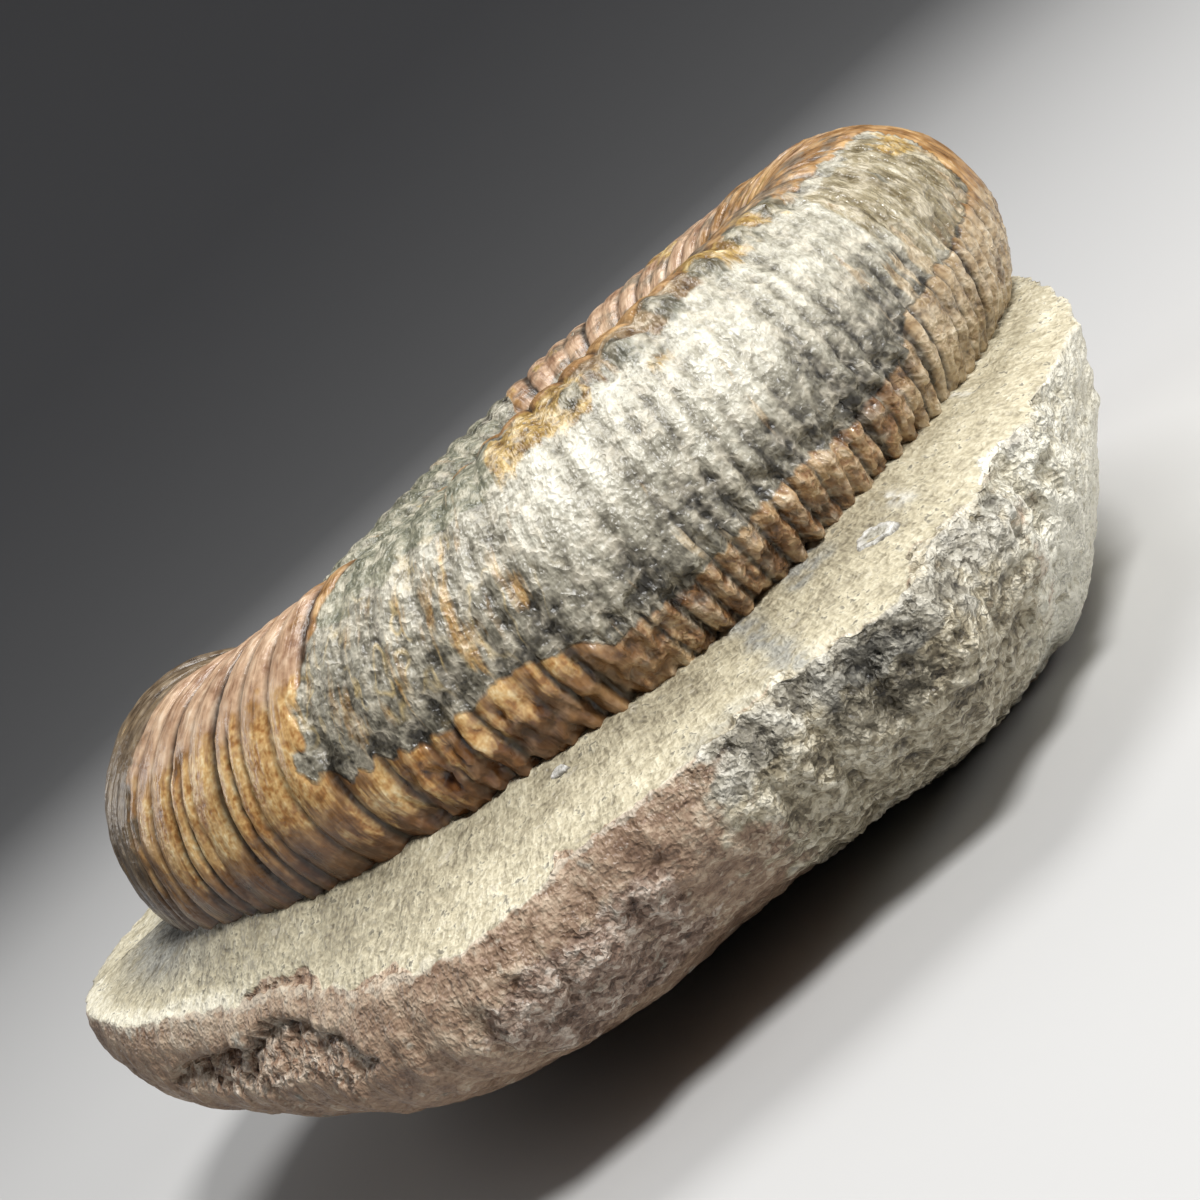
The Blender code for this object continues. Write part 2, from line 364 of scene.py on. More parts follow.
def fossil_relief(turn, angle, points, maps):
    """Height over the smooth coil in millimetres, for a whorl as big as the one at the mouth."""
    along = MOUTH_ANGLE + 360 * turn
    first = turn < 1
    shell = smooth(-0.12, 0.22, maps["cover"])
    band = between(along, 238, 345, 4) * smooth(4, -12, angle)
    bare_ribs = 0.30 + 0.20 * maps["streaked"] + 0.25 * smooth(16, -6, angle)
    bare_ribs += 0.15 * maps["olive"] + 0.35 * smooth(50, 66, angle)
    bare_ribs += 0.35 * far_mould(along, angle)
    ribs = mix(shell, bare_ribs, 0.85 + 0.25 * band)
    relief = ribs * (maps["ribs"] - 0.80)
    relief += shell * (0.20 + 0.12 * band) - 0.14
    relief += 0.42 * maps["lumps"] * first
    relief += 0.40 * mound(along, 288, 10) * mound(angle, 76, 15)  # a swelling at the shoulder
    relief -= 0.22 * mound(along, 300, 8) * mound(angle, 58, 10)  # and a dip beside it
    relief += 0.24 * layered(points, 5.0, 61, 2)
    worn_band = band * (1 - 0.6 * smooth(298, 308, along))
    rough = 0.22 + 0.5 * (1 - shell) + 0.8 * worn_band
    maps["raised"] = craggy(points, 1.9, 65) * 0.6 + craggy(points, 0.8, 69, 2) * 0.4
    relief += (0.28 + 0.12 * band) * rough * maps["raised"]
    flaked = craggy(drawn_out(turn, angle, 0.9, 2.4), 1.0, 73, 2)
    relief += worn_band * (0.32 * flaked + 0.15 * craggy(points, 0.7, 75, 2))
    scallops = 58 + 5 * np.abs(np.sin(np.radians(along - 262) * 180 / LUMP_STEP))
    relief += 0.30 * between(along, 262, 314, 3) * smooth(scallops, scallops + 5, angle)
    for pit_along, pit_angle, wide, deep in FOSSIL_PITS:
        relief -= deep * mound(along, pit_along, wide) * mound(angle, pit_angle, wide * 4)
    return relief


# The fossil's mesh

FLANK_LINES = (30, 9, 6, 4, 3, 2, 2)  # strips on the bare flank of each whorl, from the mouth in
HIDDEN_LINES = (3, 2, 2, 1, 1, 1, 1)
DENSE_EDGE_LINES = 48  # strips from the covered flank over the outer edge to just in the stone
EDGE_IN_STONE = -52.0  # section angle at which the outer edge has gone into the stone
COARSE_EDGE_LINES = 2
MOUTH_LINES = 10  # rows of corners down the wall of the mouth


def coil_steps():
    """Directions of the rows of one turn, as turns from the mouth, closer where detail is."""
    steps, along = [], MOUTH_ANGLE
    while along < MOUTH_ANGLE + 360 - PLAIN_STEP / 2:
        steps.append((along - MOUTH_ANGLE) / 360)
        along += FINE_STEP if FINE_FROM <= along < FINE_TO else PLAIN_STEP
    return steps


def join_lines(one, two, places_one, places_two):
    """Faces between two lines of corners that may differ in number, matched by their places."""
    if len(one) == len(two):
        return [(one[i], one[i + 1], two[i + 1], two[i]) for i in range(len(one) - 1)]
    faces, i, j = [], 0, 0
    way = 1 if places_one[-1] > places_one[0] else -1
    while i < len(one) - 1 or j < len(two) - 1:
        one_next = places_one[i + 1] * way if i < len(one) - 1 else math.inf
        two_next = places_two[j + 1] * way if j < len(two) - 1 else math.inf
        if one_next <= two_next:
            faces.append((one[i], one[i + 1], two[j]))
            i += 1
        else:
            faces.append((one[i], two[j + 1], two[j]))
            j += 1
    return faces


def fossil_grid():
    """Corners as (turn, angle) with the faces between them. Seam corners belong to both whorls."""
    steps = coil_steps()
    spots, faces = [], []

    def corner(turn, angle):
        spots.append((turn, angle))
        return len(spots) - 1

    edge_angles = np.concatenate([
        np.linspace(COVERED_FROM, EDGE_IN_STONE, DENSE_EDGE_LINES + 1)[1:],
        np.linspace(EDGE_IN_STONE, -COVERED_FROM, COARSE_EDGE_LINES + 1)[1:-1],
    ])  # fmt: skip
    flank_sets = [np.linspace(UPPER_SEAM, COVERED_FROM, lines + 1) for lines in FLANK_LINES]
    hidden_sets = [np.linspace(-COVERED_FROM, -UPPER_SEAM, lines + 1) for lines in HIDDEN_LINES]
    rows = []
    total = len(FLANK_LINES) * len(steps)
    for number in range(total + 1):
        whorl, step = divmod(number, len(steps))
        turn = whorl + steps[step]
        spacing = max(whorl - (step == 0), 0)
        flank, hidden = flank_sets[spacing], hidden_sets[spacing]
        outside = rows[number - len(steps)] if whorl else None
        top = [corner(turn, angle) for angle in (flank[:-1] if whorl else flank)]
        edge = [corner(turn, angle) for angle in edge_angles] if number <= len(steps) else []
        low = [corner(turn, angle) for angle in (hidden[1:] if whorl else hidden)]
        if whorl:
            top.append(outside["top"][0])
            low.insert(0, outside["low"][-1])
        rows.append({"top": top, "edge": edge, "low": low, "flank": flank, "hidden": hidden})
    for one, two in zip(rows, rows[1:]):
        faces += join_lines(one["top"], two["top"], one["flank"], two["flank"])
        faces += join_lines(one["low"], two["low"], one["hidden"], two["hidden"])
    for one, two in zip(rows[: len(steps)], rows[1 : len(steps) + 1]):
        across = (one["top"][-1:] + one["edge"] + one["low"][:1])
        beyond = (two["top"][-1:] + two["edge"] + two["low"][:1])
        faces += join_lines(across, beyond, across, across)
    return spots, faces, rows, len(steps)


def centre_loop(rows, per_turn, side, end):
    """The corners round the first chamber, on one side of the disc."""
    loop = [row[side][end] for row in rows[-per_turn - 1 : -1]]
    last = rows[-1][side]
    loop += last[:-1] if end == 0 else last[:0:-1]
    return loop


def fossil_mesh():
    """The ribbed coil with its broken mouth, closed over the first chamber on both sides."""
    spots, faces, rows, per_turn = fossil_grid()
    turn, angle = np.array(spots).T
    radius, height = coil_section(turn, angle)
    along = MOUTH_ANGLE + 360 * turn
    base = placed(radius, height, along)
    maps = fossil_maps(turn, angle, base)
    raised = fossil_relief(turn, angle, base, maps) * growth(turn)
    raised *= smooth(-80, -58, angle) * smooth(UPPER_SEAM + 1, UPPER_SEAM - 9, angle)
    outward, upward = coil_outward(angle)
    points = placed(radius + raised * outward, height + raised * upward, along)
    size = growth(turn)
    arch = RIB_ARCH * np.sin(np.radians(angle)) ** 2
    maps["along"] = np.radians(along - arch) * (COIL_RADIUS - HALF_HEIGHT / 2) * size
    maps["across"] = np.radians(angle) * HALF_HEIGHT * size
    maps["deep"] = smooth(118, 140, angle)
    maps["mouth"] = np.zeros(len(points))

    points, maps, wall = mouth_wall(points, maps, rows, per_turn)
    faces += wall
    for side, end in (("top", 0), ("low", -1)):
        loop = centre_loop(rows, per_turn, side, end)
        middle = points[loop].mean(axis=0)
        points = np.vstack([points, middle])
        maps = {name: np.append(values, values[loop[0]]) for name, values in maps.items()}
        peak = len(points) - 1
        faces += [(one, two, peak) for one, two in zip(loop, loop[1:] + loop[:1])]
    return points, faces, maps


def mouth_wall(points, maps, rows, per_turn):
    """The broken, stone-filled end of the last whorl, down to the older whorl under it."""
    rim = rows[0]["top"] + rows[0]["edge"] + rows[0]["low"]
    old = rows[per_turn]["top"][-1:] + rows[per_turn]["edge"] + rows[per_turn]["low"][:1]
    way = np.linspace(0, 1, len(rim))
    old_line = np.stack([np.interp(way, np.linspace(0, 1, len(old)), points[old][:, axis])
                         for axis in range(3)], axis=1)  # fmt: skip
    lines, faces = [rim], []
    for line in range(1, MOUTH_LINES):
        share = line / MOUTH_LINES
        fresh = mix(share, points[rim], old_line)[1:-1]
        bulge = 0.9 * math.sin(math.pi * share) * np.sin(np.pi * way[1:-1])
        rough = layered(fresh, 3.0, 71) * 0.8 + layered(fresh, 0.9, 75) * 0.25
        ahead = placed(np.array(1.0), np.array(0.0), MOUTH_ANGLE - 90)
        moved = fresh + (bulge * (0.5 + rough))[:, None] * ahead
        start = len(points)
        points = np.vstack([points, moved])
        for name, values in maps.items():
            filler = np.full(len(moved), 1.0 if name == "mouth" else 0.0)
            maps[name] = np.append(values, filler)
        lines.append([rim[0], *range(start, start + len(moved)), rim[-1]])
    for one, two in zip(lines, lines[1:]):
        faces += [(one[i], two[i], two[i + 1], one[i + 1]) for i in range(len(one) - 1)
                  if len({one[i], two[i], two[i + 1], one[i + 1]}) == 4]  # fmt: skip
        faces += [(one[i], two[i + 1], one[i + 1]) if one[i] == two[i] else
                  (one[i], two[i], one[i + 1]) for i in (0, len(one) - 2)]  # fmt: skip
    last = lines[-1]
    faces += join_lines(old, last, np.linspace(0, 1, len(old)), way)
    return points, maps, faces


# The stone's shape and maps


def station_value(direction, column):
    """A station's value at any direction, by a smooth curve through the stations."""
    first = STATIONS[0][0]
    direction = first + (direction - first) % 360
    count = len(STATIONS)
    spots = [
        (STATIONS[i % count][0] + 360 * (i // count), STATIONS[i % count][column])
        for i in range(-2, count + 3)
    ]
    for i in range(1, len(spots) - 2):
        (a0, v0), (a1, v1), (a2, v2), (a3, v3) = spots[i - 1 : i + 3]
        if a1 <= direction <= a2:
            span = a2 - a1
            share = (direction - a1) / span
            leave = (v2 - v0) / (a2 - a0) * span
            reach = (v3 - v1) / (a3 - a1) * span
            square, cube = share**2, share**3
            return (
                v1 * (2 * cube - 3 * square + 1)
                + leave * (cube - 2 * square + share)
                + v2 * (3 * square - 2 * cube)
                + reach * (cube - square)
            )
    raise ValueError(direction)


# Places where the rim has broken back: direction, half width in degrees, depth in millimetres
RIM_CHIPS = (
    (220, 4.5, 0.5), (236, 2.2, 0.3), (251.5, 0.8, 0.4), (269.5, 0.9, 0.4), (274, 1.6, 0.3),
    (284.5, 2.6, 0.8), (293.5, 2.4, 0.4), (302, 1.2, 0.3), (185, 8.0, 0.7), (30, 5.0, 1.0),
    (75, 4.0, 1.2), (112, 5.0, 0.9), (140, 3.0, 1.0),
)  # fmt: skip
# Upper and lower edge of the bite out of the skin: direction, place on the skin
SCAR_TOP = ([196, 199, 206, 213, 216, 221, 227, 231, 233],
            [1.16, 1.105, 1.085, 1.072, 1.046, 1.050, 1.075, 1.13, 1.16])  # fmt: skip
SCAR_FOOT = ([196, 199, 207, 214, 221, 226, 230, 232],
             [1.15, 1.17, 1.20, 1.195, 1.18, 1.205, 1.17, 1.13])  # fmt: skip
# Points of natural skin that reach into the worked face: direction, half width in degrees at the
# rim, and how far up the face they start
RIM_NICKS = (
    (217.5, 6.0, 0.80), (222.5, 4.5, 0.76), (234.5, 4.5, 0.88), (251.2, 1.0, 0.86),
    (254.5, 4.0, 0.94), (267.0, 4.5, 0.88), (270.2, 1.2, 0.85), (274.5, 3.0, 0.93),
    (283.0, 4.0, 0.80), (286.5, 2.5, 0.86), (294.0, 4.5, 0.88), (301.6, 1.6, 0.93),
)  # fmt: skip
# Bits in the worked face: name, direction, share of the way from the fossil to the rim, half
# length, half width and height in millimetres, how hollow it is, and turn in degrees
FACE_BITS = (
    ("shell_speck", 251.6, 0.20, 0.55, 0.40, 0.13, 0.0, 75.0),
    ("shell_fragment", 284.0, 0.42, 1.20, 1.10, 0.12, 1.0, 50.0),
)


def stone_directions():
    """Directions of the stone's columns. The mouth's own direction comes twice."""
    found, direction = [], MOUTH_ANGLE + COLUMN_SLIVER
    while direction < MOUTH_ANGLE + 360 - PLAIN_STEP / 2:
        found.append(direction)
        direction += STONE_FINE_STEP if FINE_FROM <= direction < FINE_TO else STONE_PLAIN_STEP
    return np.array(found + [MOUTH_ANGLE + 360 - COLUMN_SLIVER])


def face_line(direction):
    """Where the worked face starts and how it falls: (radius, height, slope)."""
    rim, rim_height, face_height = (station_value(direction, column) for column in (1, 2, 3))
    size = growth((direction - MOUTH_ANGLE) % 360 / 360)
    meets = size * (
        COIL_RADIUS - HALF_HEIGHT
        + HALF_HEIGHT * math.sqrt(1 - (face_height / (HALF_BREADTH * size)) ** 2)
    )
    return meets, face_height, (rim_height - face_height) / (rim - meets)


def stone_column(direction):
    """Radii and heights down one direction: socket, worked face, rim, skin, resting facet."""
    rim, rim_height, bulge, facet = (station_value(direction, column) for column in (1, 2, 4, 5))
    size = growth((direction - MOUTH_ANGLE) % 360 / 360)
    meets, face_height, slope = face_line(direction)
    chip = sum(
        depth * math.exp(-(((direction - place + 180) % 360 - 180) / width) ** 2)
        for place, width, depth in RIM_CHIPS
    )
    edge = np.array([[math.radians(direction) * STONE_REACH, 0.0, 7.7]])  # a line in the noise
    chip += 0.30 * craggy(edge, 3.4, 81)[0] + 0.22 * craggy(edge, 1.3, 85)[0]
    rim -= chip
    rim_height -= chip * slope
    radii, heights = [], []

    def add(radius, height):
        radii.append(radius)
        heights.append(height)

    contact = math.degrees(math.asin(face_height / (HALF_BREADTH * size)))
    add(0.0, SOCKET_TOP)
    for angle in np.linspace(SOCKET_START, contact - 9, STONE_ROWS["socket"]):
        turned = math.radians(angle)
        add(
            size * (COIL_RADIUS - HALF_HEIGHT)
            + (HALF_HEIGHT * size + SOCKET_GAP) * math.cos(turned),
            (HALF_BREADTH * size + SOCKET_GAP) * math.sin(turned),
        )
    for share in np.linspace(0, 1, STONE_ROWS["face"] + 1):
        radius = mix(share, meets - FACE_OVERLAP, rim)
        add(radius, face_height + slope * (radius - meets))
    for row in range(1, STONE_ROWS["skin"] + 1):
        bend = math.radians(90 * (row / STONE_ROWS["skin"]) ** SKIN_SPACING)
        inward = math.cos(bend) ** (2 / SIDE_POWER) if row < STONE_ROWS["skin"] else 0
        drop = math.sin(bend) ** (2 / DEPTH_POWER)
        add(
            facet + (rim - facet) * inward + bulge * math.sin(2 * bend),
            rim_height - (MEDIAN_HEIGHT + rim_height) * drop,
        )
    for share in (0.7, 0.35, 0.0):
        add(facet * share, -MEDIAN_HEIGHT)
    return radii, heights


def grid_outward(points):
    """Directions out of a grid of points that closes on itself along its first axis."""
    around = np.roll(points, -1, axis=0) - np.roll(points, 1, axis=0)
    down = np.gradient(points, axis=1)
    out = np.cross(around, down)
    length = np.linalg.norm(out, axis=2, keepdims=True)
    return -out / np.maximum(length, 1e-9)


def stone_maps(direction, down, points, run):
    """Values for each kind of stone surface. `down` is 0 to 1 on the face, 1 to 2 on the skin."""
    wander = layered(points, 2.6, 101)
    along = direction + 2.2 * wander
    level = down + 0.05 * layered(points, 1.8, 105)
    skin = smooth(0.995, 1.01, down)
    jagged = direction + 1.0 * layered(points, 1.2, 113, 3, 0.7)
    nicks = np.zeros(len(points))
    for place, half_width, start in RIM_NICKS:
        narrow = (level - start) / (1 - start) - np.abs(jagged - place) / half_width
        nicks = np.maximum(nicks, smooth(-0.05, 0.20, narrow))
    skin = np.maximum(skin, nicks * smooth(0.6, 0.7, down))
    # The colours of one side end raggedly a little above the resting facet
    above = smooth(1.90, 1.74, level + 0.10 * layered(points, 6.0, 149, 3, 0.6))
    granular = smooth(256, 268, along) * smooth(300, 286, along) * skin * above
    cream = smooth(284, 298, along) * smooth(400, 350, along) * above
    lower = smooth(1.12, 1.42, level)
    tone = mix(cream, mix(lower, 0.58, 0.50), mix(lower, 0.85, 0.96))
    tone += 0.16 * area(along, level, 198, 231, 3, 1.0, 1.07, 0.02)
    crusted = area(along, level, 241, 255, 3, 1.13, 1.42, 0.05) * skin
    hollow = area(along, level, 270, 278, 3, 1.02, 1.25, 0.05) * skin
    bite = direction + 0.8 * layered(points, 1.5, 117, 3, 0.6)
    upper, lower_edge = np.interp(bite, *SCAR_TOP), np.interp(bite, *SCAR_FOOT)
    inward = down + 0.012 * layered(points, 1.2, 119, 3, 0.6)
    scar = smooth(0, 0.012, inward - upper) * smooth(0, 0.012, lower_edge - inward)
    fall = np.clip((inward - upper) / np.maximum(lower_edge - upper, 0.02), 0, 1)
    pale = 0.50 + 0.14 * smooth(0.35, 1.0, level) + 0.16 * smooth(296, 310, along)
    pale += 0.36 * smooth(0.75, 0.95, level) * smooth(222, 208, along)
    pale -= 0.14 * smooth(0.75, 0.95, level) * smooth(298, 306, along)
    pale -= 0.20 * smooth(210, 192, along) * smooth(0.8, 0.3, level)
    pale -= 0.10 * smooth(0.35, 0.15, level) * smooth(240, 228, along)
    rough = 0.22 + 0.2 * smooth(226, 244, along) + granular + crusted + 0.8 * scar
    rough += 0.55 * cream * smooth(314, 300, along) + 0.5 * smooth(1.0, 0.97, down)
    return {
        "skin": skin,
        "tone": mix(skin, pale, tone - 0.06 * crusted - 0.11 * hollow),
        "scar": scar,
        "fall": fall,
        "rough": np.clip(rough, 0, 1),
        "crusted": crusted,
        "granular": granular,
        "hollow": hollow,
        "slate": skin * np.maximum(
            area(along, level, 262, 288, 3, 0.98, 1.12, 0.04),
            0.6 * area(along, level, 282, 294, 3, 1.0, 1.2, 0.05),
        ),
        "cream": cream,
        "blue": (1 - skin) * np.maximum.reduce([
            0.9 * smooth(212, 192, along) * smooth(160, 180, along) * smooth(0.8, 0.35, level),
            area(along, level, 270, 272.5, 1.2, 0.0, 1.1, 0.1),
            area(along, level, 276, 281.5, 1, 0.03, 0.26, 0.04),
            0.7 * between(along, 262, 269, 2) * smooth(0.75, 0.95, level),
        ]),
        "chalk": (1 - skin) * np.maximum(
            mound(direction, 288.3, 0.9) * between(level, 0.27, 0.52, 0.06),
            mound(direction, 305.3, 0.5) * between(level, 0.1, 0.33, 0.05),
        ),
        # Darker brown on the worked face along the foot of the fossil
        "stain": smooth(0.10, 0.01, level) * smooth(238, 248, along),
        # A pale rim: wear along the edge of the worked face, and a painted highlight
        "edge": mound(down, 1.0, 0.016) + 0.25 * mound(down, 0.96, 0.05),
        "run": run,
        "around": np.radians(direction) * STONE_REACH,
    }  # fmt: skip


def stone_relief(direction, down, points, run, maps):
    """Height over the smooth stone in millimetres."""
    skin = maps["skin"]
    face = 1 - skin
    around = maps["around"]
    # Tool marks down the face, fine and broad. Their last number only picks a layer of noise.
    strokes = np.stack([around / 0.33, run / 3.4 + 0.25 * around, np.full(len(run), 3.3)], axis=1)
    broad = np.stack([around / 1.1, run / 6.0, np.full(len(run), 9.1)], axis=1)
    relief = face * (0.030 * soft_noise(strokes, 121) + 0.06 * soft_noise(broad, 125))
    relief += face * (0.20 * layered(points, 3.5, 127, 2) + 0.09 * craggy(points, 0.9, 129, 2))
    relief -= 0.22 * skin * smooth(1.0, 0.97, down)
    rough = maps["rough"]
    relief += skin * (0.35 + 0.3 * rough) * 0.50 * layered(points, 4.5, 131, 2, 0.55)
    maps["raised"] = craggy(points, 2.4, 135, 4, 0.6)
    relief += skin * rough * 0.42 * maps["raised"]
    distance, name = grain_centres(points, 0.75, 109)
    pits = smooth(0.42, 0.10, distance) * (name > 0.6)
    relief -= skin * pits * (0.03 + 0.14 * maps["granular"] + 0.18 * maps["crusted"])
    beds = np.stack([points[:, 0] / 6, points[:, 1] / 6, points[:, 2] / 0.8], axis=1)
    relief += skin * (0.10 * soft_noise(beds, 139) * (0.4 + maps["scar"] + 0.8 * maps["cream"]))
    steps = 3.6 * maps["fall"] + 0.8 * layered(points, 3.0, 141, 3, 0.6)
    terrace = (np.floor(steps) + smooth(0.75, 1.0, steps - np.floor(steps))) / 3.6
    relief -= maps["scar"] * (1.0 - 0.75 * terrace + 0.25 * craggy(points, 1.3, 143, 3))
    relief -= 0.45 * maps["hollow"] * (0.6 + 0.6 * craggy(points, 1.4, 145))
    relief -= 0.6 * between(direction, 188, 244, 10) * between(down, 1.32, 1.78, 0.14)
    inside = smooth(-0.02, 0.03, down)
    flat = smooth(1.98, 1.86, down)
    return relief * inside * flat


def stone_grid():
    """The smooth stone as a grid: points, direction, way down the profile and length run."""
    directions = stone_directions()
    columns = [stone_column(direction) for direction in directions]
    radius = np.array([column[0] for column in columns])
    height = np.array([column[1] for column in columns])
    down = np.concatenate([
        np.linspace(-0.6, -0.1, STONE_ROWS["socket"] + 1),
        np.linspace(0, 1, STONE_ROWS["face"] + 1),
        1 + (np.arange(1, STONE_ROWS["skin"] + 1) / STONE_ROWS["skin"]) ** SKIN_SPACING,
        [2.1, 2.2, 2.3],
    ])  # fmt: skip
    down = np.broadcast_to(down, radius.shape)
    direction = np.broadcast_to(directions[:, None], radius.shape)
    points = placed(radius, height, direction)
    step = np.linalg.norm(np.diff(points, axis=1), axis=2)
    run = np.concatenate([np.zeros((len(directions), 1)), np.cumsum(step, axis=1)], axis=1)
    return points, direction, down, run


def draw_in_foot(skin):
    """Keeps the foot of the skin from standing out beyond the wall above it."""
    reach = np.hypot(skin[..., 0], skin[..., 1])
    least = np.minimum.accumulate(reach, axis=1)
    foot = skin[..., 2] < -MEDIAN_HEIGHT + 1.2
    skin[..., :2] *= np.where(foot, least / np.maximum(reach, 1e-6), 1.0)[..., None]


def stone_mesh():
    """The half nodule from the socket under the coil down to its resting facet."""
    grid, direction, down, run = stone_grid()
    outward = grid_outward(grid)
    shape = down.shape
    flat_points = grid.reshape(-1, 3)
    flat_down, flat_run = down.ravel(), run.ravel()
    maps = stone_maps(direction.ravel(), flat_down, flat_points, flat_run)
    raised = stone_relief(direction.ravel(), flat_down, flat_points, flat_run, maps)
    points = flat_points + raised[:, None] * outward.reshape(-1, 3)
    points[:, 2] = np.maximum(points[:, 2], -MEDIAN_HEIGHT)
    draw_in_foot(points.reshape(*shape, 3)[:, -STONE_ROWS["skin"] - 3:])
    ids = np.arange(len(points)).reshape(shape)
    top, bottom = ids[0, 0], ids[0, -1]
    ids[:, 0] = top
    ids[:, -1] = bottom
    faces = []
    following = np.roll(ids, -1, axis=0)
    for one, two in zip(ids.tolist(), following.tolist()):
        faces.append((top, one[1], two[1]))
        faces += [(one[i], one[i + 1], two[i + 1], two[i]) for i in range(1, len(one) - 2)]
        faces.append((one[-2], bottom, two[-2]))
    return points, faces, maps


def bit_mesh(direction, share, half_length, half_width, rise, dish, turn):
    """A low scrap of shell, dished or domed, that stands in the worked face."""
    start, height, slope = face_line(direction)
    radius = mix(share, start, station_value(direction, 1))
    centre = placed(np.array(radius), np.array(height + slope * (radius - start)), direction)
    outward = placed(np.array(1.0), np.array(slope), direction)
    outward /= np.linalg.norm(outward)
    aside = placed(np.array(1.0), np.array(0.0), direction + 90)
    up = np.cross(outward, aside)
    sectors, rings = 40, 10
    reach = np.concatenate([[0.0], np.repeat(np.arange(1, rings + 1) / rings, sectors)])
    around = np.concatenate([[0.0], np.tile(np.arange(sectors) * 2 * math.pi / sectors, rings)])
    outline = 1 + 0.13 * np.sin(2 * around + direction) + 0.11 * np.sin(3 * around + 2)
    outline += 0.06 * np.sin(7 * around) + 0.04 * np.sin(11 * around + 1)
    bend = math.radians(turn)
    one = half_length * reach * outline * np.cos(around)
    two = half_width * reach * outline * np.sin(around)
    ahead = one * math.cos(bend) - two * math.sin(bend)
    over = one * math.sin(bend) + two * math.cos(bend)
    raised = rise * (1 - dish * smooth(0.75, 0.2, reach)) - (rise + 0.18) * smooth(0.80, 1.0, reach)
    points = centre + np.outer(ahead, outward) + np.outer(over, aside) + np.outer(raised, up)
    points += 0.06 * layered(points, 0.7, 151, 2)[:, None] * up
    faces = [(0, 1 + s, 1 + (s + 1) % sectors) for s in range(sectors)]
    for ring in range(rings - 1):
        one, two = 1 + ring * sectors, 1 + (ring + 1) * sectors
        faces += [(one + s, two + s, two + (s + 1) % sectors, one + (s + 1) % sectors)
                  for s in range(sectors)]  # fmt: skip
    pearl = 1 - dish * smooth(0.66, 0.45, reach + 0.1 * layered(points, 0.5, 153, 2))
    return points, faces, {"pearl": pearl, "rim": reach}


# Making pieces


def make_piece(name, points, faces, maps, finish, slot):
    """A smooth mesh in metres, standing at the coil's height, with its maps as attributes."""
    used = sorted({corner for face in faces for corner in face})
    place = np.full(len(points), -1)
    place[used] = np.arange(len(used))
    points = points[used]
    lifted = (points + (0, 0, MEDIAN_HEIGHT)) * MM
    mesh = bpy.data.meshes.new(name)
    mesh.from_pydata(lifted.tolist(), [], [[int(place[c]) for c in face] for face in faces])
    for title, values in maps.items():
        layer = mesh.attributes.new(title, "FLOAT", "POINT")
        layer.data.foreach_set("value", values[used].astype(np.float32))
    mesh.shade_smooth()
    mesh.materials.append(finish)
    piece = bpy.data.objects.new(name, mesh)
    bpy.context.collection.objects.link(piece)
    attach(piece, "root")
    return piece


# Node helpers


def connect(tree, value, socket):
    """Links an output to a socket, or sets the socket to a number or colour."""
    if isinstance(value, bpy.types.NodeSocket):
        tree.links.new(value, socket)
    elif isinstance(value, tuple) and len(value) == 3 and socket.type == "RGBA":
        socket.default_value = (*value, 1)
    else:
        socket.default_value = value


def add_node(tree, kind, inputs=None, **settings):
    made = tree.nodes.new(kind)
    for name, value in settings.items():
        setattr(made, name, value)
    for name, value in (inputs or {}).items():
        connect(tree, value, made.inputs[name])
    return made


def blend(tree, share, one, two):
    made = add_node(tree, "ShaderNodeMix", {0: share, 6: one, 7: two}, data_type="RGBA")
    return made.outputs[2]


def figure(tree, operation, *values):
    return add_node(tree, "ShaderNodeMath", dict(enumerate(values)), operation=operation).outputs[0]


def spread(tree, value, low, high, to_low=0.0, to_high=1.0):
    made = add_node(tree, "ShaderNodeMapRange", {0: value, 1: low, 2: high, 3: to_low, 4: to_high})
    return made.outputs[0]


def product(tree, one, two):
    return figure(tree, "MULTIPLY", one, two)


def attribute(tree, name):
    return add_node(tree, "ShaderNodeAttribute", attribute_name=name).outputs["Fac"]


def millimetres(tree):
    """The object's own coordinates in millimetres."""
    own = add_node(tree, "ShaderNodeTexCoord").outputs["Object"]
    made = add_node(tree, "ShaderNodeVectorMath", {0: own, "Scale": 1 / MM}, operation="SCALE")
    return made.outputs[0]


def stretched(tree, one, two, along, across):
    """Coordinates that run with two maps, scaled to marks of these lengths."""
    made = add_node(tree, "ShaderNodeCombineXYZ", {
        0: figure(tree, "DIVIDE", one, along),
        1: figure(tree, "DIVIDE", two, across),
    })  # fmt: skip
    return made.outputs[0]


def new_group(name, inputs, outputs):
    """An empty effect with named inputs and outputs, and its two end nodes."""
    group = bpy.data.node_groups.new(name, "ShaderNodeTree")
    for title, kind, value in inputs:
        made = group.interface.new_socket(name=title, in_out="INPUT", socket_type=kind)
        if value is not None:
            made.default_value = value
    for title, kind in outputs:
        group.interface.new_socket(name=title, in_out="OUTPUT", socket_type=kind)
    return group, add_node(group, "NodeGroupInput").outputs, add_node(group, "NodeGroupOutput")


def use(tree, group, **inputs):
    made = tree.nodes.new("ShaderNodeGroup")
    made.node_tree = group
    for name, value in inputs.items():
        connect(tree, value, made.inputs[name])
    return made.outputs


# Effects that several finishes use


def noise_value(group, given, layers, roughness):
    """Noise of the given size in a group, about 0.5 on average."""
    scale = figure(group, "DIVIDE", 1.0, given["Size"])
    made = add_node(group, "ShaderNodeTexNoise", {
        "Vector": given["Vector"], "Scale": scale, "Detail": layers, "Roughness": roughness,
    })  # fmt: skip
    return made.outputs[0]


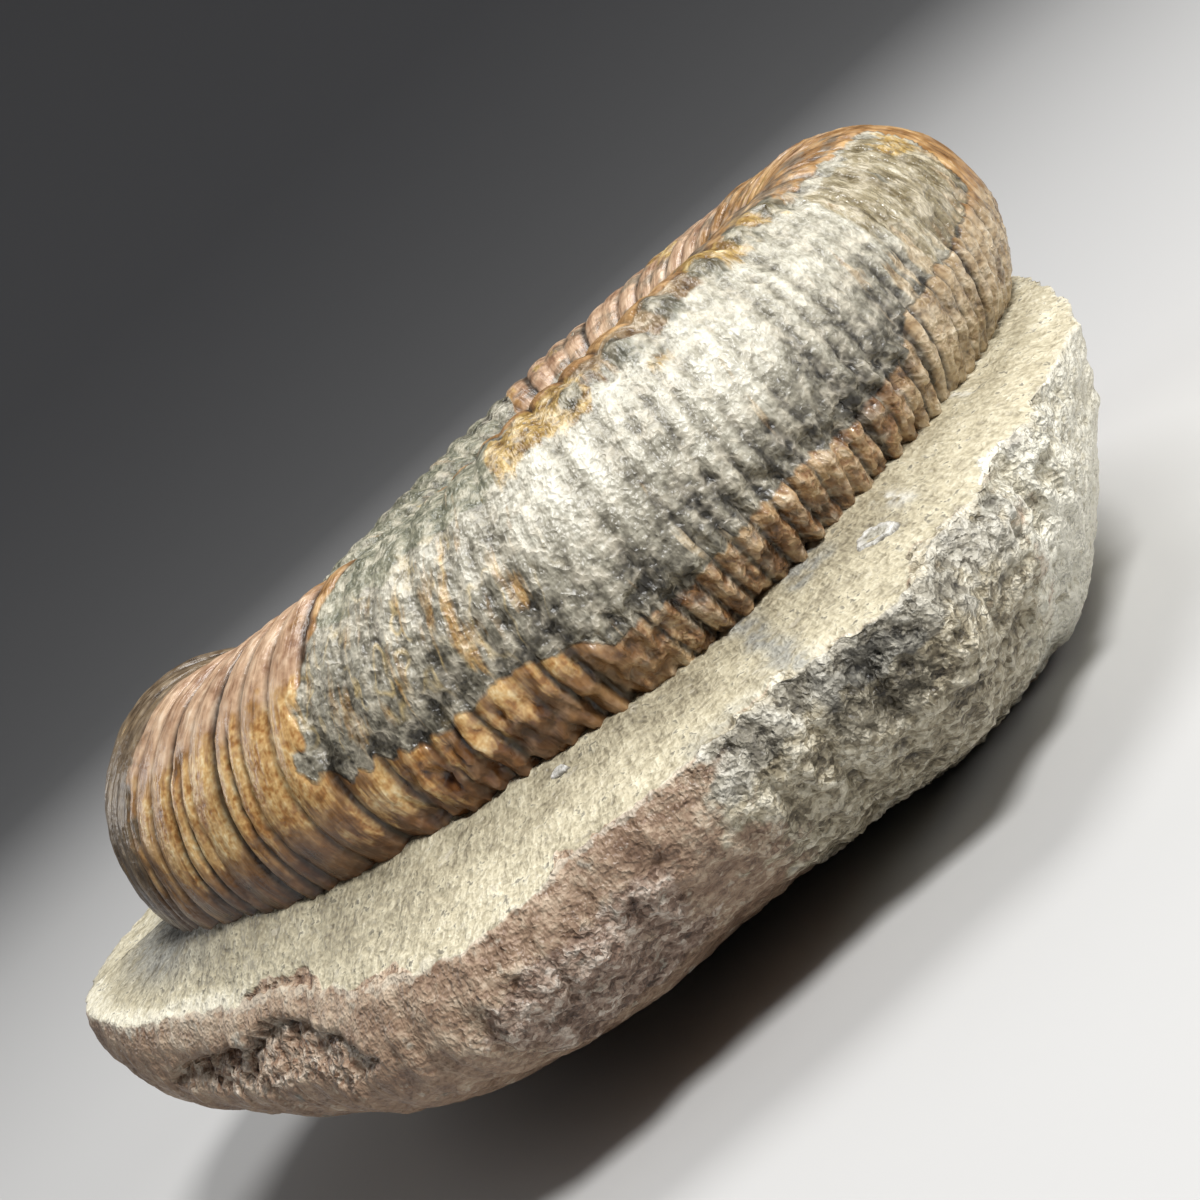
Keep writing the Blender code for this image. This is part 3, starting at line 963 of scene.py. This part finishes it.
def grain_effect():
    """Uneven grain with finer grain on it: a soft value from 0 to 1."""
    group, given, result = new_group(
        "grain",
        [("Vector", "NodeSocketVector", None), ("Size", "NodeSocketFloat", 1.0),
         ("Contrast", "NodeSocketFloat", 1.0), ("Layers", "NodeSocketFloat", 3.0)],
        [("Value", "NodeSocketFloat")],
    )  # fmt: skip
    centred = figure(group, "SUBTRACT", noise_value(group, given, given["Layers"], 0.62), 0.5)
    raised = product(group, centred, given["Contrast"])
    around_half = {0: raised, 1: 0.5}
    shifted = add_node(group, "ShaderNodeMath", around_half, operation="ADD", use_clamp=True)
    connect(group, shifted.outputs[0], result.inputs["Value"])
    return group


def crumple_effect():
    """A crumpled surface: 1 along its sharp crooked ridges, falling to 0 between them."""
    group, given, result = new_group(
        "crumple",
        [("Vector", "NodeSocketVector", None), ("Size", "NodeSocketFloat", 1.0),
         ("Width", "NodeSocketFloat", 0.15)],
        [("Value", "NodeSocketFloat")],
    )  # fmt: skip
    off_middle = figure(group, "SUBTRACT", noise_value(group, given, 2.0, 0.55), 0.5)
    off_middle = figure(group, "ABSOLUTE", off_middle)
    connect(group, spread(group, off_middle, given["Width"], 0.0), result.inputs["Value"])
    return group


def flake_effect():
    """Ragged flakes side by side: a random tone for each and the thin gaps between them."""
    group, given, result = new_group(
        "flakes",
        [("Vector", "NodeSocketVector", None), ("Size", "NodeSocketFloat", 1.0)],
        [("Tone", "NodeSocketFloat"), ("Gap", "NodeSocketFloat")],
    )  # fmt: skip
    scale = figure(group, "DIVIDE", 1.0, given["Size"])
    noise = add_node(group, "ShaderNodeTexNoise", {
        "Vector": given["Vector"], "Scale": scale, "Detail": 1.0,
    }).outputs[1]  # fmt: skip
    bent = add_node(group, "ShaderNodeVectorMath", {
        0: noise, 1: product(group, given["Size"], 1.4), 2: given["Vector"],
    }, operation="MULTIPLY_ADD").outputs[0]  # fmt: skip
    cells = add_node(group, "ShaderNodeTexVoronoi", {"Vector": bent, "Scale": scale})
    tone = add_node(group, "ShaderNodeSeparateXYZ", {0: cells.outputs["Color"]}).outputs[0]
    edges = add_node(group, "ShaderNodeTexVoronoi", {"Vector": bent, "Scale": scale},
                     feature="DISTANCE_TO_EDGE")  # fmt: skip
    connect(group, tone, result.inputs["Tone"])
    connect(group, spread(group, edges.outputs[0], 0.10, 0.0), result.inputs["Gap"])
    return group


def ragged_effect():
    """Breaks up a soft map along the grain, so that its edge is patchy."""
    group, given, result = new_group(
        "ragged edge",
        [("Grain", "NodeSocketFloat", 0.5), ("Map", "NodeSocketFloat", 0.0),
         ("Wander", "NodeSocketFloat", 0.4)],
        [("Mask", "NodeSocketFloat")],
    )  # fmt: skip
    centred = figure(group, "SUBTRACT", given["Grain"], 0.5)
    shift = product(group, centred, 3.0)
    moved = figure(group, "ADD", given["Map"], product(group, shift, given["Wander"]))
    connect(group, spread(group, moved, 0.38, 0.62), result.inputs["Mask"])
    return group


EFFECTS = {
    "grain": grain_effect(),
    "crumple": crumple_effect(),
    "flakes": flake_effect(),
    "ragged": ragged_effect(),
}


def grain(tree, vector, size, contrast=1.0, layers=3.0):
    given = {"Vector": vector, "Size": size, "Contrast": contrast, "Layers": layers}
    return use(tree, EFFECTS["grain"], **given)["Value"]


def crumple(tree, vector, size, width=0.15):
    return use(tree, EFFECTS["crumple"], Vector=vector, Size=size, Width=width)["Value"]


def flakes(tree, vector, size):
    made = use(tree, EFFECTS["flakes"], Vector=vector, Size=size)
    return made["Tone"], made["Gap"]


def ragged(tree, breaks, value, wander):
    return use(tree, EFFECTS["ragged"], Grain=breaks, Map=value, Wander=wander)["Mask"]


def ragged_map(tree, breaks, name, wander):
    """One of the mesh's maps with its edge broken up."""
    return ragged(tree, breaks, attribute(tree, name), wander)


def new_finish(name):
    """A new material with its nodes and its shader."""
    finish = bpy.data.materials.new(name)
    finish.use_nodes = True
    tree = finish.node_tree
    return finish, tree, tree.nodes["Principled BSDF"]


def part_of(tree, share, mask):
    """A mask that reaches only this share."""
    return product(tree, mask, share)


def total(tree, *parts, start=0.0):
    """The sum of (share, value) pairs, counted from a start."""
    result = start
    for share, value in parts:
        made = add_node(tree, "ShaderNodeMath", {0: value, 1: share, 2: result},
                        operation="MULTIPLY_ADD")  # fmt: skip
        result = made.outputs[0]
    return result


def coats(tree, under, *layers):
    """A colour with others laid over it in turn: (share, mask, colour) for each."""
    for share, mask, over in layers:
        under = blend(tree, part_of(tree, share, mask), under, over)
    return under


def join_surface(tree, shader, colour, rough, height, distance=MM):
    """Gives the shader its colour, roughness and fine relief."""
    connect(tree, colour, shader.inputs["Base Color"])
    connect(tree, rough, shader.inputs["Roughness"])
    relief = {"Height": height, "Strength": 1.0, "Distance": distance}
    connect(tree, add_node(tree, "ShaderNodeBump", relief).outputs[0], shader.inputs["Normal"])


def shades(tree, value, name):
    """A surface's colours, from its darkest at value 0 to its lightest at value 1."""
    ramp = add_node(tree, "ShaderNodeValToRGB", {0: value})
    stops, colours = ramp.color_ramp.elements, COLOURS[name]
    for number, colour in enumerate(colours):
        place = number / (len(colours) - 1)
        stop = stops[number] if number < 2 else stops.new(place)
        stop.position = place
        stop.color = (*colour, 1)
    return ramp.outputs[0]


# Finishes

# Near-black colour in the rib grooves: dirt and painted shade
GROOVE_DIRT_AND_SHADE = (0.010, 0.006, 0.004)
GOLD_VEIN = (0.62, 0.47, 0.22)
# Painted highlight for the glints on crumpled ridges
RIDGE_HIGHLIGHT = (0.80, 0.720, 0.570)
DARK_SPECK = (0.090, 0.080, 0.058)
CHALK = (0.72, 0.71, 0.65)
DARK_BAND_BY_FOSSIL = (0.130, 0.078, 0.036)
SCAR_SHADE = (0.020, 0.010, 0.006)
CRACK = (0.012, 0.008, 0.005)
# Pale rim colour: wear and a painted highlight
WORN_EDGE_AND_HIGHLIGHT = (0.68, 0.63, 0.51)
FRAGMENT_RIM = (0.085, 0.072, 0.050)
# Even steps of colour from the darkest to the lightest of each surface
COLOURS = {
    "brown shell": (
        (0.020, 0.009, 0.003), (0.115, 0.053, 0.018), (0.310, 0.165, 0.062), (0.53, 0.330, 0.145),
        (0.72, 0.53, 0.31),
    ),
    # Rosy tone with a painted pinkish sheen, up to a pinkish white
    "rosy shell and sheen": (
        (0.060, 0.027, 0.014), (0.290, 0.165, 0.100), (0.570, 0.400, 0.275), (0.80, 0.68, 0.55),
    ),
    "leaden shell": (
        (0.010, 0.008, 0.005), (0.050, 0.040, 0.026), (0.140, 0.112, 0.074), (0.36, 0.29, 0.20),
    ),
    "russet shell": (
        (0.008, 0.002, 0.001), (0.038, 0.010, 0.002), (0.120, 0.040, 0.009), (0.32, 0.14, 0.04),
    ),
    "amber shell": (
        (0.030, 0.012, 0.003), (0.140, 0.058, 0.015), (0.360, 0.170, 0.050), (0.62, 0.400, 0.165),
        (0.84, 0.70, 0.42),
    ),
    "umber shell": (
        (0.006, 0.003, 0.001), (0.054, 0.023, 0.009), (0.220, 0.110, 0.046), (0.48, 0.33, 0.18),
        (0.76, 0.68, 0.53),
    ),
    "buff shell": (
        (0.012, 0.007, 0.003), (0.115, 0.070, 0.034), (0.320, 0.228, 0.124), (0.55, 0.44, 0.29),
        (0.78, 0.71, 0.57),
    ),
    "silvery mould": (
        (0.020, 0.017, 0.012), (0.078, 0.069, 0.050), (0.195, 0.178, 0.134), (0.350, 0.326, 0.256),
        (0.520, 0.495, 0.405), (0.69, 0.67, 0.58),
    ),
    "green mould": (
        (0.030, 0.031, 0.020), (0.120, 0.120, 0.080), (0.240, 0.230, 0.160), (0.42, 0.40, 0.30),
    ),
    "olive mould": (
        (0.040, 0.030, 0.014), (0.150, 0.116, 0.060), (0.340, 0.286, 0.178), (0.66, 0.62, 0.50),
    ),
    "ochre mould": ((0.120, 0.048, 0.010), (0.420, 0.230, 0.060), (0.760, 0.600, 0.320)),
    "drab mould": (
        (0.022, 0.012, 0.005), (0.120, 0.070, 0.030), (0.300, 0.210, 0.115), (0.62, 0.53, 0.37),
    ),
    "gold film": (
        (0.045, 0.021, 0.005), (0.190, 0.105, 0.026), (0.430, 0.285, 0.088), (0.80, 0.66, 0.37),
    ),
    "shoulder lumps": ((0.035, 0.034, 0.024), (0.125, 0.120, 0.085), (0.26, 0.25, 0.19)),
    "stone in the mouth": ((0.080, 0.068, 0.048), (0.270, 0.238, 0.175), (0.48, 0.44, 0.34)),
    "worked face": (
        (0.085, 0.071, 0.046), (0.200, 0.172, 0.116), (0.345, 0.302, 0.206), (0.485, 0.432, 0.300),
        (0.620, 0.565, 0.415), (0.78, 0.73, 0.58),
    ),
    "bluish stone": ((0.105, 0.108, 0.100), (0.255, 0.255, 0.235), (0.43, 0.43, 0.39)),
    # The skin's own brown, made redder by a painted warm reflection
    "brown skin": (
        (0.022, 0.010, 0.005), (0.085, 0.045, 0.026), (0.190, 0.115, 0.072), (0.330, 0.225, 0.150),
        (0.50, 0.390, 0.28), (0.68, 0.59, 0.47),
    ),
    "granular skin": (
        (0.008, 0.007, 0.004), (0.058, 0.048, 0.029), (0.175, 0.148, 0.092), (0.370, 0.325, 0.222),
        (0.58, 0.53, 0.40), (0.77, 0.72, 0.58),
    ),
    "cream skin": (
        (0.035, 0.028, 0.018), (0.125, 0.105, 0.072), (0.270, 0.238, 0.170), (0.450, 0.410, 0.305),
        (0.65, 0.61, 0.48), (0.82, 0.79, 0.67),
    ),
    "scar": (
        (0.020, 0.008, 0.004), (0.120, 0.056, 0.030), (0.280, 0.165, 0.100), (0.45, 0.330, 0.235),
        (0.66, 0.56, 0.45),
    ),
    "dark crust": (
        (0.009, 0.005, 0.003), (0.070, 0.036, 0.022), (0.195, 0.122, 0.086), (0.41, 0.31, 0.245),
        (0.65, 0.57, 0.49),
    ),
    "hollow": (
        (0.010, 0.008, 0.006), (0.056, 0.048, 0.033), (0.165, 0.145, 0.103), (0.42, 0.38, 0.29),
    ),
    "slate skin": (
        (0.012, 0.013, 0.014), (0.072, 0.074, 0.072), (0.205, 0.205, 0.190), (0.47, 0.46, 0.42),
    ),
    "dull shell": ((0.14, 0.13, 0.10), (0.33, 0.31, 0.25), (0.52, 0.50, 0.42)),
    "pearly shell": ((0.26, 0.25, 0.21), (0.56, 0.54, 0.49), (0.80, 0.79, 0.75)),
}  # fmt: skip


def fossil_finish():
    """Worn brown shell over a bare mould that is silvery, streaked, olive or golden."""
    finish, tree, shader = new_finish("worn shell and mould")
    spot = millimetres(tree)
    along, across = attribute(tree, "along"), attribute(tree, "across")
    ribs, raised = attribute(tree, "ribs"), attribute(tree, "raised")
    with_ribs = stretched(tree, along, across, 0.30, 3.0)
    striae = grain(tree, with_ribs, 1.0, 2.4, 2.0)
    lines = grain(tree, stretched(tree, along, across, 0.95, 7.0), 1.0, 2.8, 2.0)
    broad = grain(tree, spot, 3.5, 2.6, 3.0)
    middle = grain(tree, spot, 1.1, 2.6, 2.0)
    fine = grain(tree, spot, 0.34, 2.4, 1.0)
    breaks, rib_breaks = grain(tree, spot, 1.6), grain(tree, with_ribs, 2.5)
    flake, _ = flakes(tree, spot, 0.36)
    foil = crumple(tree, spot, 1.2, 0.16)
    foil_fine = crumple(tree, stretched(tree, along, across, 0.45, 0.8), 1.0, 0.18)
    # Painted light and shade: the colour is made lighter on the raised crags and darker in the
    # hollows between them
    lit = spread(tree, raised, -0.5, 0.6)
    # Where the shell's colour is darkened in the rib grooves, as dirt and painted shade
    groove = spread(tree, ribs, 0.73, 0.48)
    # Painted shade: the silvery mould is darkened in the rib valleys
    valley = spread(tree, ribs, 0.98, 0.60)
    cover = spread(tree, attribute(tree, "cover"), -0.10, 0.10)
    umber_map = attribute(tree, "umber")

    tone = total(tree, (0.30, broad), (0.18, middle), (0.30, striae), (0.04, fine), (0.18, lit))
    gilt = total(tree, (0.30, broad), (0.22, striae), (0.26, fine), (0.20, foil_fine), (0.18, lit))
    crust = total(tree, (0.24, broad), (0.16, flake), (0.22, foil_fine), (0.42, lit), start=-0.06)
    buff = shades(tree, crust, "buff shell")
    shell = coats(
        tree, shades(tree, tone, "brown shell"),
        (0.75, ragged_map(tree, breaks, "pink", 0.5), shades(tree, tone, "rosy shell and sheen")),
        (0.80, ragged_map(tree, breaks, "leaden", 0.55), shades(tree, tone, "leaden shell")),
        (0.90, attribute(tree, "russet"), shades(tree, tone, "russet shell")),
        (0.85, ragged_map(tree, rib_breaks, "amber", 0.8), shades(tree, gilt, "amber shell")),
        (0.90, umber_map, shades(tree, crust, "umber shell")),
        (0.85, attribute(tree, "buff"), buff),
        (0.88, groove, GROOVE_DIRT_AND_SHADE),
    )  # fmt: skip

    # Painted shade in the rib grooves, together with fine streaks that run with the ribs
    grooved = total(tree, (0.5, groove), (0.7, striae))
    streaks_and_groove_shade = product(tree, attribute(tree, "streaky"), grooved)
    frost = total(tree, (1.0, attribute(tree, "frost")), (0.20, broad), (0.18, middle),
                  (0.20, fine), (0.12, flake), (0.14, lit), (0.12, foil_fine), (0.20, lines),
                  (-0.24, valley), (-0.24, streaks_and_groove_shade), start=-0.47)  # fmt: skip
    dark = total(tree, (0.40, middle), (0.30, fine), (0.15, flake), (0.15, foil_fine))
    silvery, green = shades(tree, frost, "silvery mould"), shades(tree, dark, "green mould")
    mould = blend(tree, ragged_map(tree, breaks, "green", 0.35), silvery, green)
    olive_tone = total(tree, (0.46, lines), (0.42, striae), (0.16, middle), (0.18, broad),
                       (0.12, lit), start=-0.16)  # fmt: skip
    veins = crumple(tree, stretched(tree, along, across, 1.0, 3.2), 1.4, 0.030)
    veins = product(tree, veins, spread(tree, broad, 0.35, 0.60))
    streaked = attribute(tree, "streaked")
    patchy = ragged(tree, rib_breaks, part_of(tree, 0.36, streaked), 0.6)
    ochre_tone = total(tree, (0.5, fine), (0.5, middle))
    mould = coats(
        tree, mould,
        (0.9, ragged_map(tree, rib_breaks, "olive", 0.8), shades(tree, olive_tone, "olive mould")),
        (0.8, ragged_map(tree, rib_breaks, "flaky", 1.1), buff),
        (0.6, product(tree, veins, streaked), GOLD_VEIN),
        (0.7, patchy, shades(tree, ochre_tone, "ochre mould")),
    )  # fmt: skip
    drab_tone = total(tree, (0.45, lines), (0.20, middle), (0.15, flake), (0.20, lit))
    drab = shades(tree, drab_tone, "drab mould")
    mould = blend(tree, ragged_map(tree, rib_breaks, "drab", 0.7), mould, drab)

    golden = ragged_map(tree, rib_breaks, "golden", 0.65)
    flecks = spread(tree, total(tree, (0.55, fine), (0.45, foil_fine)), 0.20, 0.48, 0.40, 0.95)
    gold = shades(tree, total(tree, (0.35, middle), (0.30, fine), (0.35, lit)), "gold film")
    colour = blend(tree, cover, mould, shell)
    colour = blend(tree, product(tree, golden, flecks), colour, gold)
    lumps = ragged_map(tree, breaks, "lumps", 0.5)
    colour = coats(tree, colour, (0.85, lumps, shades(tree, middle, "shoulder lumps")))
    bare = spread(tree, cover, 0.0, 1.0, 1.0, 0.22)
    rugged = figure(tree, "MAXIMUM", bare, umber_map)
    # Painted highlight: pale glints laid along the sharp crumpled ridges of the bare mould and the
    # worn band
    sharp = product(tree, foil, spread(tree, middle, 0.40, 0.80, 0.0, 0.35))
    colour = blend(tree, product(tree, sharp, rugged), colour, RIDGE_HIGHLIGHT)
    packed = figure(tree, "MAXIMUM", attribute(tree, "mouth"), attribute(tree, "deep"))
    fill = shades(tree, total(tree, (0.5, middle), (0.5, fine)), "stone in the mouth")
    colour = blend(tree, ragged(tree, breaks, packed, 0.4), colour, fill)

    rough = spread(tree, cover, 0.0, 1.0, 0.36, 0.26)
    rough = figure(tree, "ADD", rough, part_of(tree, 0.14, middle))
    rough = figure(tree, "SUBTRACT", rough, part_of(tree, 0.10, attribute(tree, "olive")))
    rough = figure(tree, "ADD", rough, part_of(tree, 0.3, packed))
    foil_height = total(tree, (0.09, foil), (0.05, foil_fine), (0.035, fine))
    growth_lines = spread(tree, attribute(tree, "olive"), 0, 1, 0.040, 0.090)
    grown = product(tree, striae, growth_lines)
    height = total(tree, (1.0, grown), (1.0, product(tree, foil_height, rugged)))
    shader.inputs["Specular IOR Level"].default_value = 0.6
    join_surface(tree, shader, colour, rough, height)
    return finish


def stone_finish():
    """Pale worked limestone with a brown, pitted natural skin."""
    finish, tree, shader = new_finish("worked limestone and skin")
    spot = millimetres(tree)
    around, run = attribute(tree, "around"), attribute(tree, "run")
    breaks, fine_breaks = grain(tree, spot, 2.4), grain(tree, spot, 1.0)
    skin = ragged_map(tree, fine_breaks, "skin", 0.08)
    strokes = grain(tree, stretched(tree, around, run, 0.30, 2.0), 1.0, 2.2, 2.0)
    beds = grain(tree, stretched(tree, around, run, 3.2, 0.45), 1.0, 2.6, 2.0)
    fine = grain(tree, spot, 0.36, 2.6, 1.0)
    middle = grain(tree, spot, 1.2, 2.6, 2.0)
    broad = grain(tree, spot, 4.5, 2.6, 3.0)
    flake, gap = flakes(tree, spot, 0.42)
    crag = crumple(tree, spot, 1.5, 0.14)
    crag_fine = crumple(tree, spot, 0.65, 0.16)
    # Painted light and shade: the skin's colour is made lighter on the raised crags and darker in
    # the hollows between them
    lit = spread(tree, attribute(tree, "raised"), -0.6, 0.6)

    tone, rugged = attribute(tree, "tone"), attribute(tree, "rough")
    face_tone = total(tree, (1.0, tone), (0.26, broad), (0.22, middle), (0.30, fine),
                      (0.26, strokes), (0.08, crag_fine), start=-0.56)  # fmt: skip
    blue = product(tree, attribute(tree, "blue"), spread(tree, middle, 0.15, 0.55, 0.3, 1.0))
    bluish = shades(tree, total(tree, (0.4, middle), (0.6, fine)), "bluish stone")
    speck = product(tree, spread(tree, fine, 0.70, 0.88), spread(tree, middle, 0.50, 0.75))
    chalk = product(tree, attribute(tree, "chalk"), spread(tree, middle, 0.15, 0.55))
    face = coats(
        tree, shades(tree, face_tone, "worked face"),
        (0.80, blue, bluish),
        (0.75, speck, DARK_SPECK),
        (0.70, chalk, CHALK),
        (0.60, ragged_map(tree, fine_breaks, "stain", 0.7), DARK_BAND_BY_FOSSIL),
    )  # fmt: skip

    uneven = total(tree, (0.34, flake), (0.12, crag_fine), (0.40, lit), (0.14, fine), start=-0.44)
    uneven = product(tree, uneven, rugged)
    bark_tone = total(tree, (1.0, tone), (0.20, broad), (0.14, middle), (0.06, fine), (0.14, beds),
                      (1.0, uneven), start=-0.30)  # fmt: skip
    rough_tone = total(tree, (1.0, tone), (0.16, middle), (0.20, fine), (0.40, flake), (0.16, crag),
                       (0.10, crag_fine), (0.40, lit), start=-0.68)  # fmt: skip
    speckled = shades(tree, rough_tone, "granular skin")
    scar = attribute(tree, "scar")
    overhang = product(tree, scar, spread(tree, attribute(tree, "fall"), 0.16, 0.02))
    cracks = product(tree, gap, spread(tree, middle, 0.55, 0.30))
    bark = coats(
        tree, shades(tree, bark_tone, "brown skin"),
        (0.90, ragged_map(tree, breaks, "granular", 0.6), speckled),
        (0.95, ragged_map(tree, breaks, "cream", 0.65), shades(tree, bark_tone, "cream skin")),
        (0.90, scar, shades(tree, rough_tone, "scar")),
        (0.80, overhang, SCAR_SHADE),
        (0.80, ragged_map(tree, breaks, "crusted", 0.75), shades(tree, rough_tone, "dark crust")),
        (0.75, ragged_map(tree, breaks, "hollow", 0.9), shades(tree, rough_tone, "hollow")),
        (0.50, ragged_map(tree, breaks, "slate", 0.8), shades(tree, rough_tone, "slate skin")),
        (0.50, product(tree, cracks, rugged), CRACK),
    )  # fmt: skip
    # Pale rim of the worked face: wear, with a painted highlight
    worn = ragged(tree, fine_breaks, part_of(tree, 0.7, attribute(tree, "edge")), 1.0)
    colour = coats(tree, blend(tree, skin, face, bark), (0.4, worn, WORN_EDGE_AND_HIGHLIGHT))

    carved = total(tree, (0.045, strokes), (0.060, fine), (0.06, middle), (0.045, crag_fine))
    craggy_height = total(tree, (0.20, crag), (0.07, crag_fine))
    craggy_height = product(tree, craggy_height, rugged)
    craggy_height = product(tree, craggy_height, attribute(tree, "skin"))
    height = total(tree, (1.0, carved), (1.0, craggy_height))
    join_surface(tree, shader, colour, spread(tree, middle, 0.2, 0.8, 0.42, 0.70), height)
    return finish


def fragment_finish():
    """Pale, slightly pearly shell."""
    finish, tree, shader = new_finish("pale shell fragment")
    spot = millimetres(tree)
    tone = total(tree, (0.5, grain(tree, spot, 0.5, 2.6)), (0.5, grain(tree, spot, 0.25, 2.4)))
    dull = shades(tree, tone, "dull shell")
    pale = shades(tree, tone, "pearly shell")
    colour = blend(tree, attribute(tree, "pearl"), dull, pale)
    rim = spread(tree, attribute(tree, "rim"), 0.78, 0.92)
    colour = coats(tree, colour, (0.8, rim, FRAGMENT_RIM))
    rough = spread(tree, tone, 0.2, 0.8, 0.22, 0.42)
    join_surface(tree, shader, colour, rough, tone, distance=0.06 * MM)
    return finish


def floor_finish():
    """Pale paper that falls off to grey where it rises behind the object."""
    finish, tree, shader = new_finish("pale paper")
    own = add_node(tree, "ShaderNodeTexCoord").outputs["Object"]
    reach = add_node(tree, "ShaderNodeVectorMath", {0: own}, operation="LENGTH").outputs["Value"]
    away = spread(tree, reach, 0.25, 0.80)
    colour = blend(tree, away, (0.50, 0.495, 0.485), (0.18, 0.18, 0.185))
    connect(tree, colour, shader.inputs["Base Color"])
    shader.inputs["Roughness"].default_value = 0.9
    return finish


# Stage


FLOOR_REACH, WALL_BEND, WALL_TOP = 0.55, 0.35, 0.9  # metres


def make_floor():
    """A pale floor that curves up into a wall all the way round, so that no edge shows."""
    sectors, finish = 96, floor_finish()
    profile = [(0.0, 0.0), (0.12, 0.0), (0.3, 0.0), (FLOOR_REACH, 0.0)]
    profile += [(FLOOR_REACH + WALL_BEND * math.sin(bend), WALL_BEND - WALL_BEND * math.cos(bend))
                for bend in np.linspace(0, math.pi / 2, 13)[1:]]  # fmt: skip
    profile += [(FLOOR_REACH + WALL_BEND, height) for height in (0.6, WALL_TOP)]
    points = [(r * math.cos(2 * math.pi * s / sectors), r * math.sin(2 * math.pi * s / sectors), z)
              for s in range(sectors) for r, z in profile[1:]]  # fmt: skip
    rings = len(profile) - 1
    points.append((0, 0, 0))
    faces = []
    for s in range(sectors):
        one, two = s * rings, (s + 1) % sectors * rings
        faces.append((len(points) - 1, one, two))
        faces += [(one + i, one + i + 1, two + i + 1, two + i) for i in range(rings - 1)]
    mesh = bpy.data.meshes.new("floor")
    mesh.from_pydata(points, [], faces)
    mesh.shade_smooth()
    mesh.materials.append(finish)
    floor = bpy.data.objects.new("floor", mesh)
    bpy.context.collection.objects.link(floor)


def aim(thing, target):
    """Turns a light to shine at a place."""
    thing.rotation_euler = (Vector(target) - thing.location).to_track_quat("-Z", "Y").to_euler()


def add_light(name, place, power, size):
    """A round soft light that shines at the middle of the object."""
    lamp = bpy.data.lights.new(name, "AREA")
    lamp.shape = "DISK"
    lamp.energy = power
    lamp.size = size
    thing = bpy.data.objects.new(name, lamp)
    thing.location = place
    bpy.context.collection.objects.link(thing)
    aim(thing, (0, 0, 0.02))


def make_lights():
    """A key light from the front right, three weaker ones and a dim even room."""
    add_light("key", (0.12, -0.25, 0.31), 1.8, 0.09)
    add_light("overhead", (0.08, 0.08, 0.42), 1.1, 0.22)
    add_light("left", (-0.33, 0.22, 0.22), 0.28, 0.20)
    add_light("right", (0.36, -0.12, 0.14), 0.40, 0.12)
    world = bpy.data.worlds.new("soft room")
    bpy.context.scene.world = world
    world.use_nodes = True
    room = world.node_tree.nodes["Background"].inputs
    room["Color"].default_value = (0.9, 0.93, 1.0, 1)
    room["Strength"].default_value = 0.14
    bpy.context.scene.view_settings.view_transform = "Standard"


CAMERA_PLACE = (-0.00385, -0.15178, 0.04088)
CAMERA_RISE, CAMERA_ROLL = 9.0, 42.2  # degrees
CAMERA_LENS = 70.83


def make_camera():
    """Low in front of the fossil and rolled, so that the coil climbs to the right."""
    rise, roll = math.radians(CAMERA_RISE), math.radians(CAMERA_ROLL)
    back = Vector((0, -math.cos(rise), math.sin(rise)))
    up = Vector((0, math.sin(rise), math.cos(rise)))
    side = Vector((1, 0, 0))
    across = math.cos(roll) * side - math.sin(roll) * up
    upright = math.sin(roll) * side + math.cos(roll) * up
    camera = bpy.data.cameras.new("camera")
    camera.lens = CAMERA_LENS
    camera.sensor_width = 36
    camera.clip_start = 0.005
    thing = bpy.data.objects.new("camera", camera)
    turned = Matrix((across, upright, back)).transposed().to_4x4()
    thing.matrix_world = Matrix.Translation(CAMERA_PLACE) @ turned
    bpy.context.collection.objects.link(thing)
    bpy.context.scene.camera = thing


def main():
    make_camera()
    fossil = make_piece("ammonite_fossil", *fossil_mesh(), fossil_finish(), "fossil_shell")
    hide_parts("ammonite")
    stone = make_piece("stone_matrix", *stone_mesh(), stone_finish(), "nodule_stone")
    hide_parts("matrix")
    finish = fragment_finish()
    for name, *shape in FACE_BITS:
        make_piece(name, *bit_mesh(*shape), finish, "fossil_shell")
    make_floor()
    make_lights()


main()
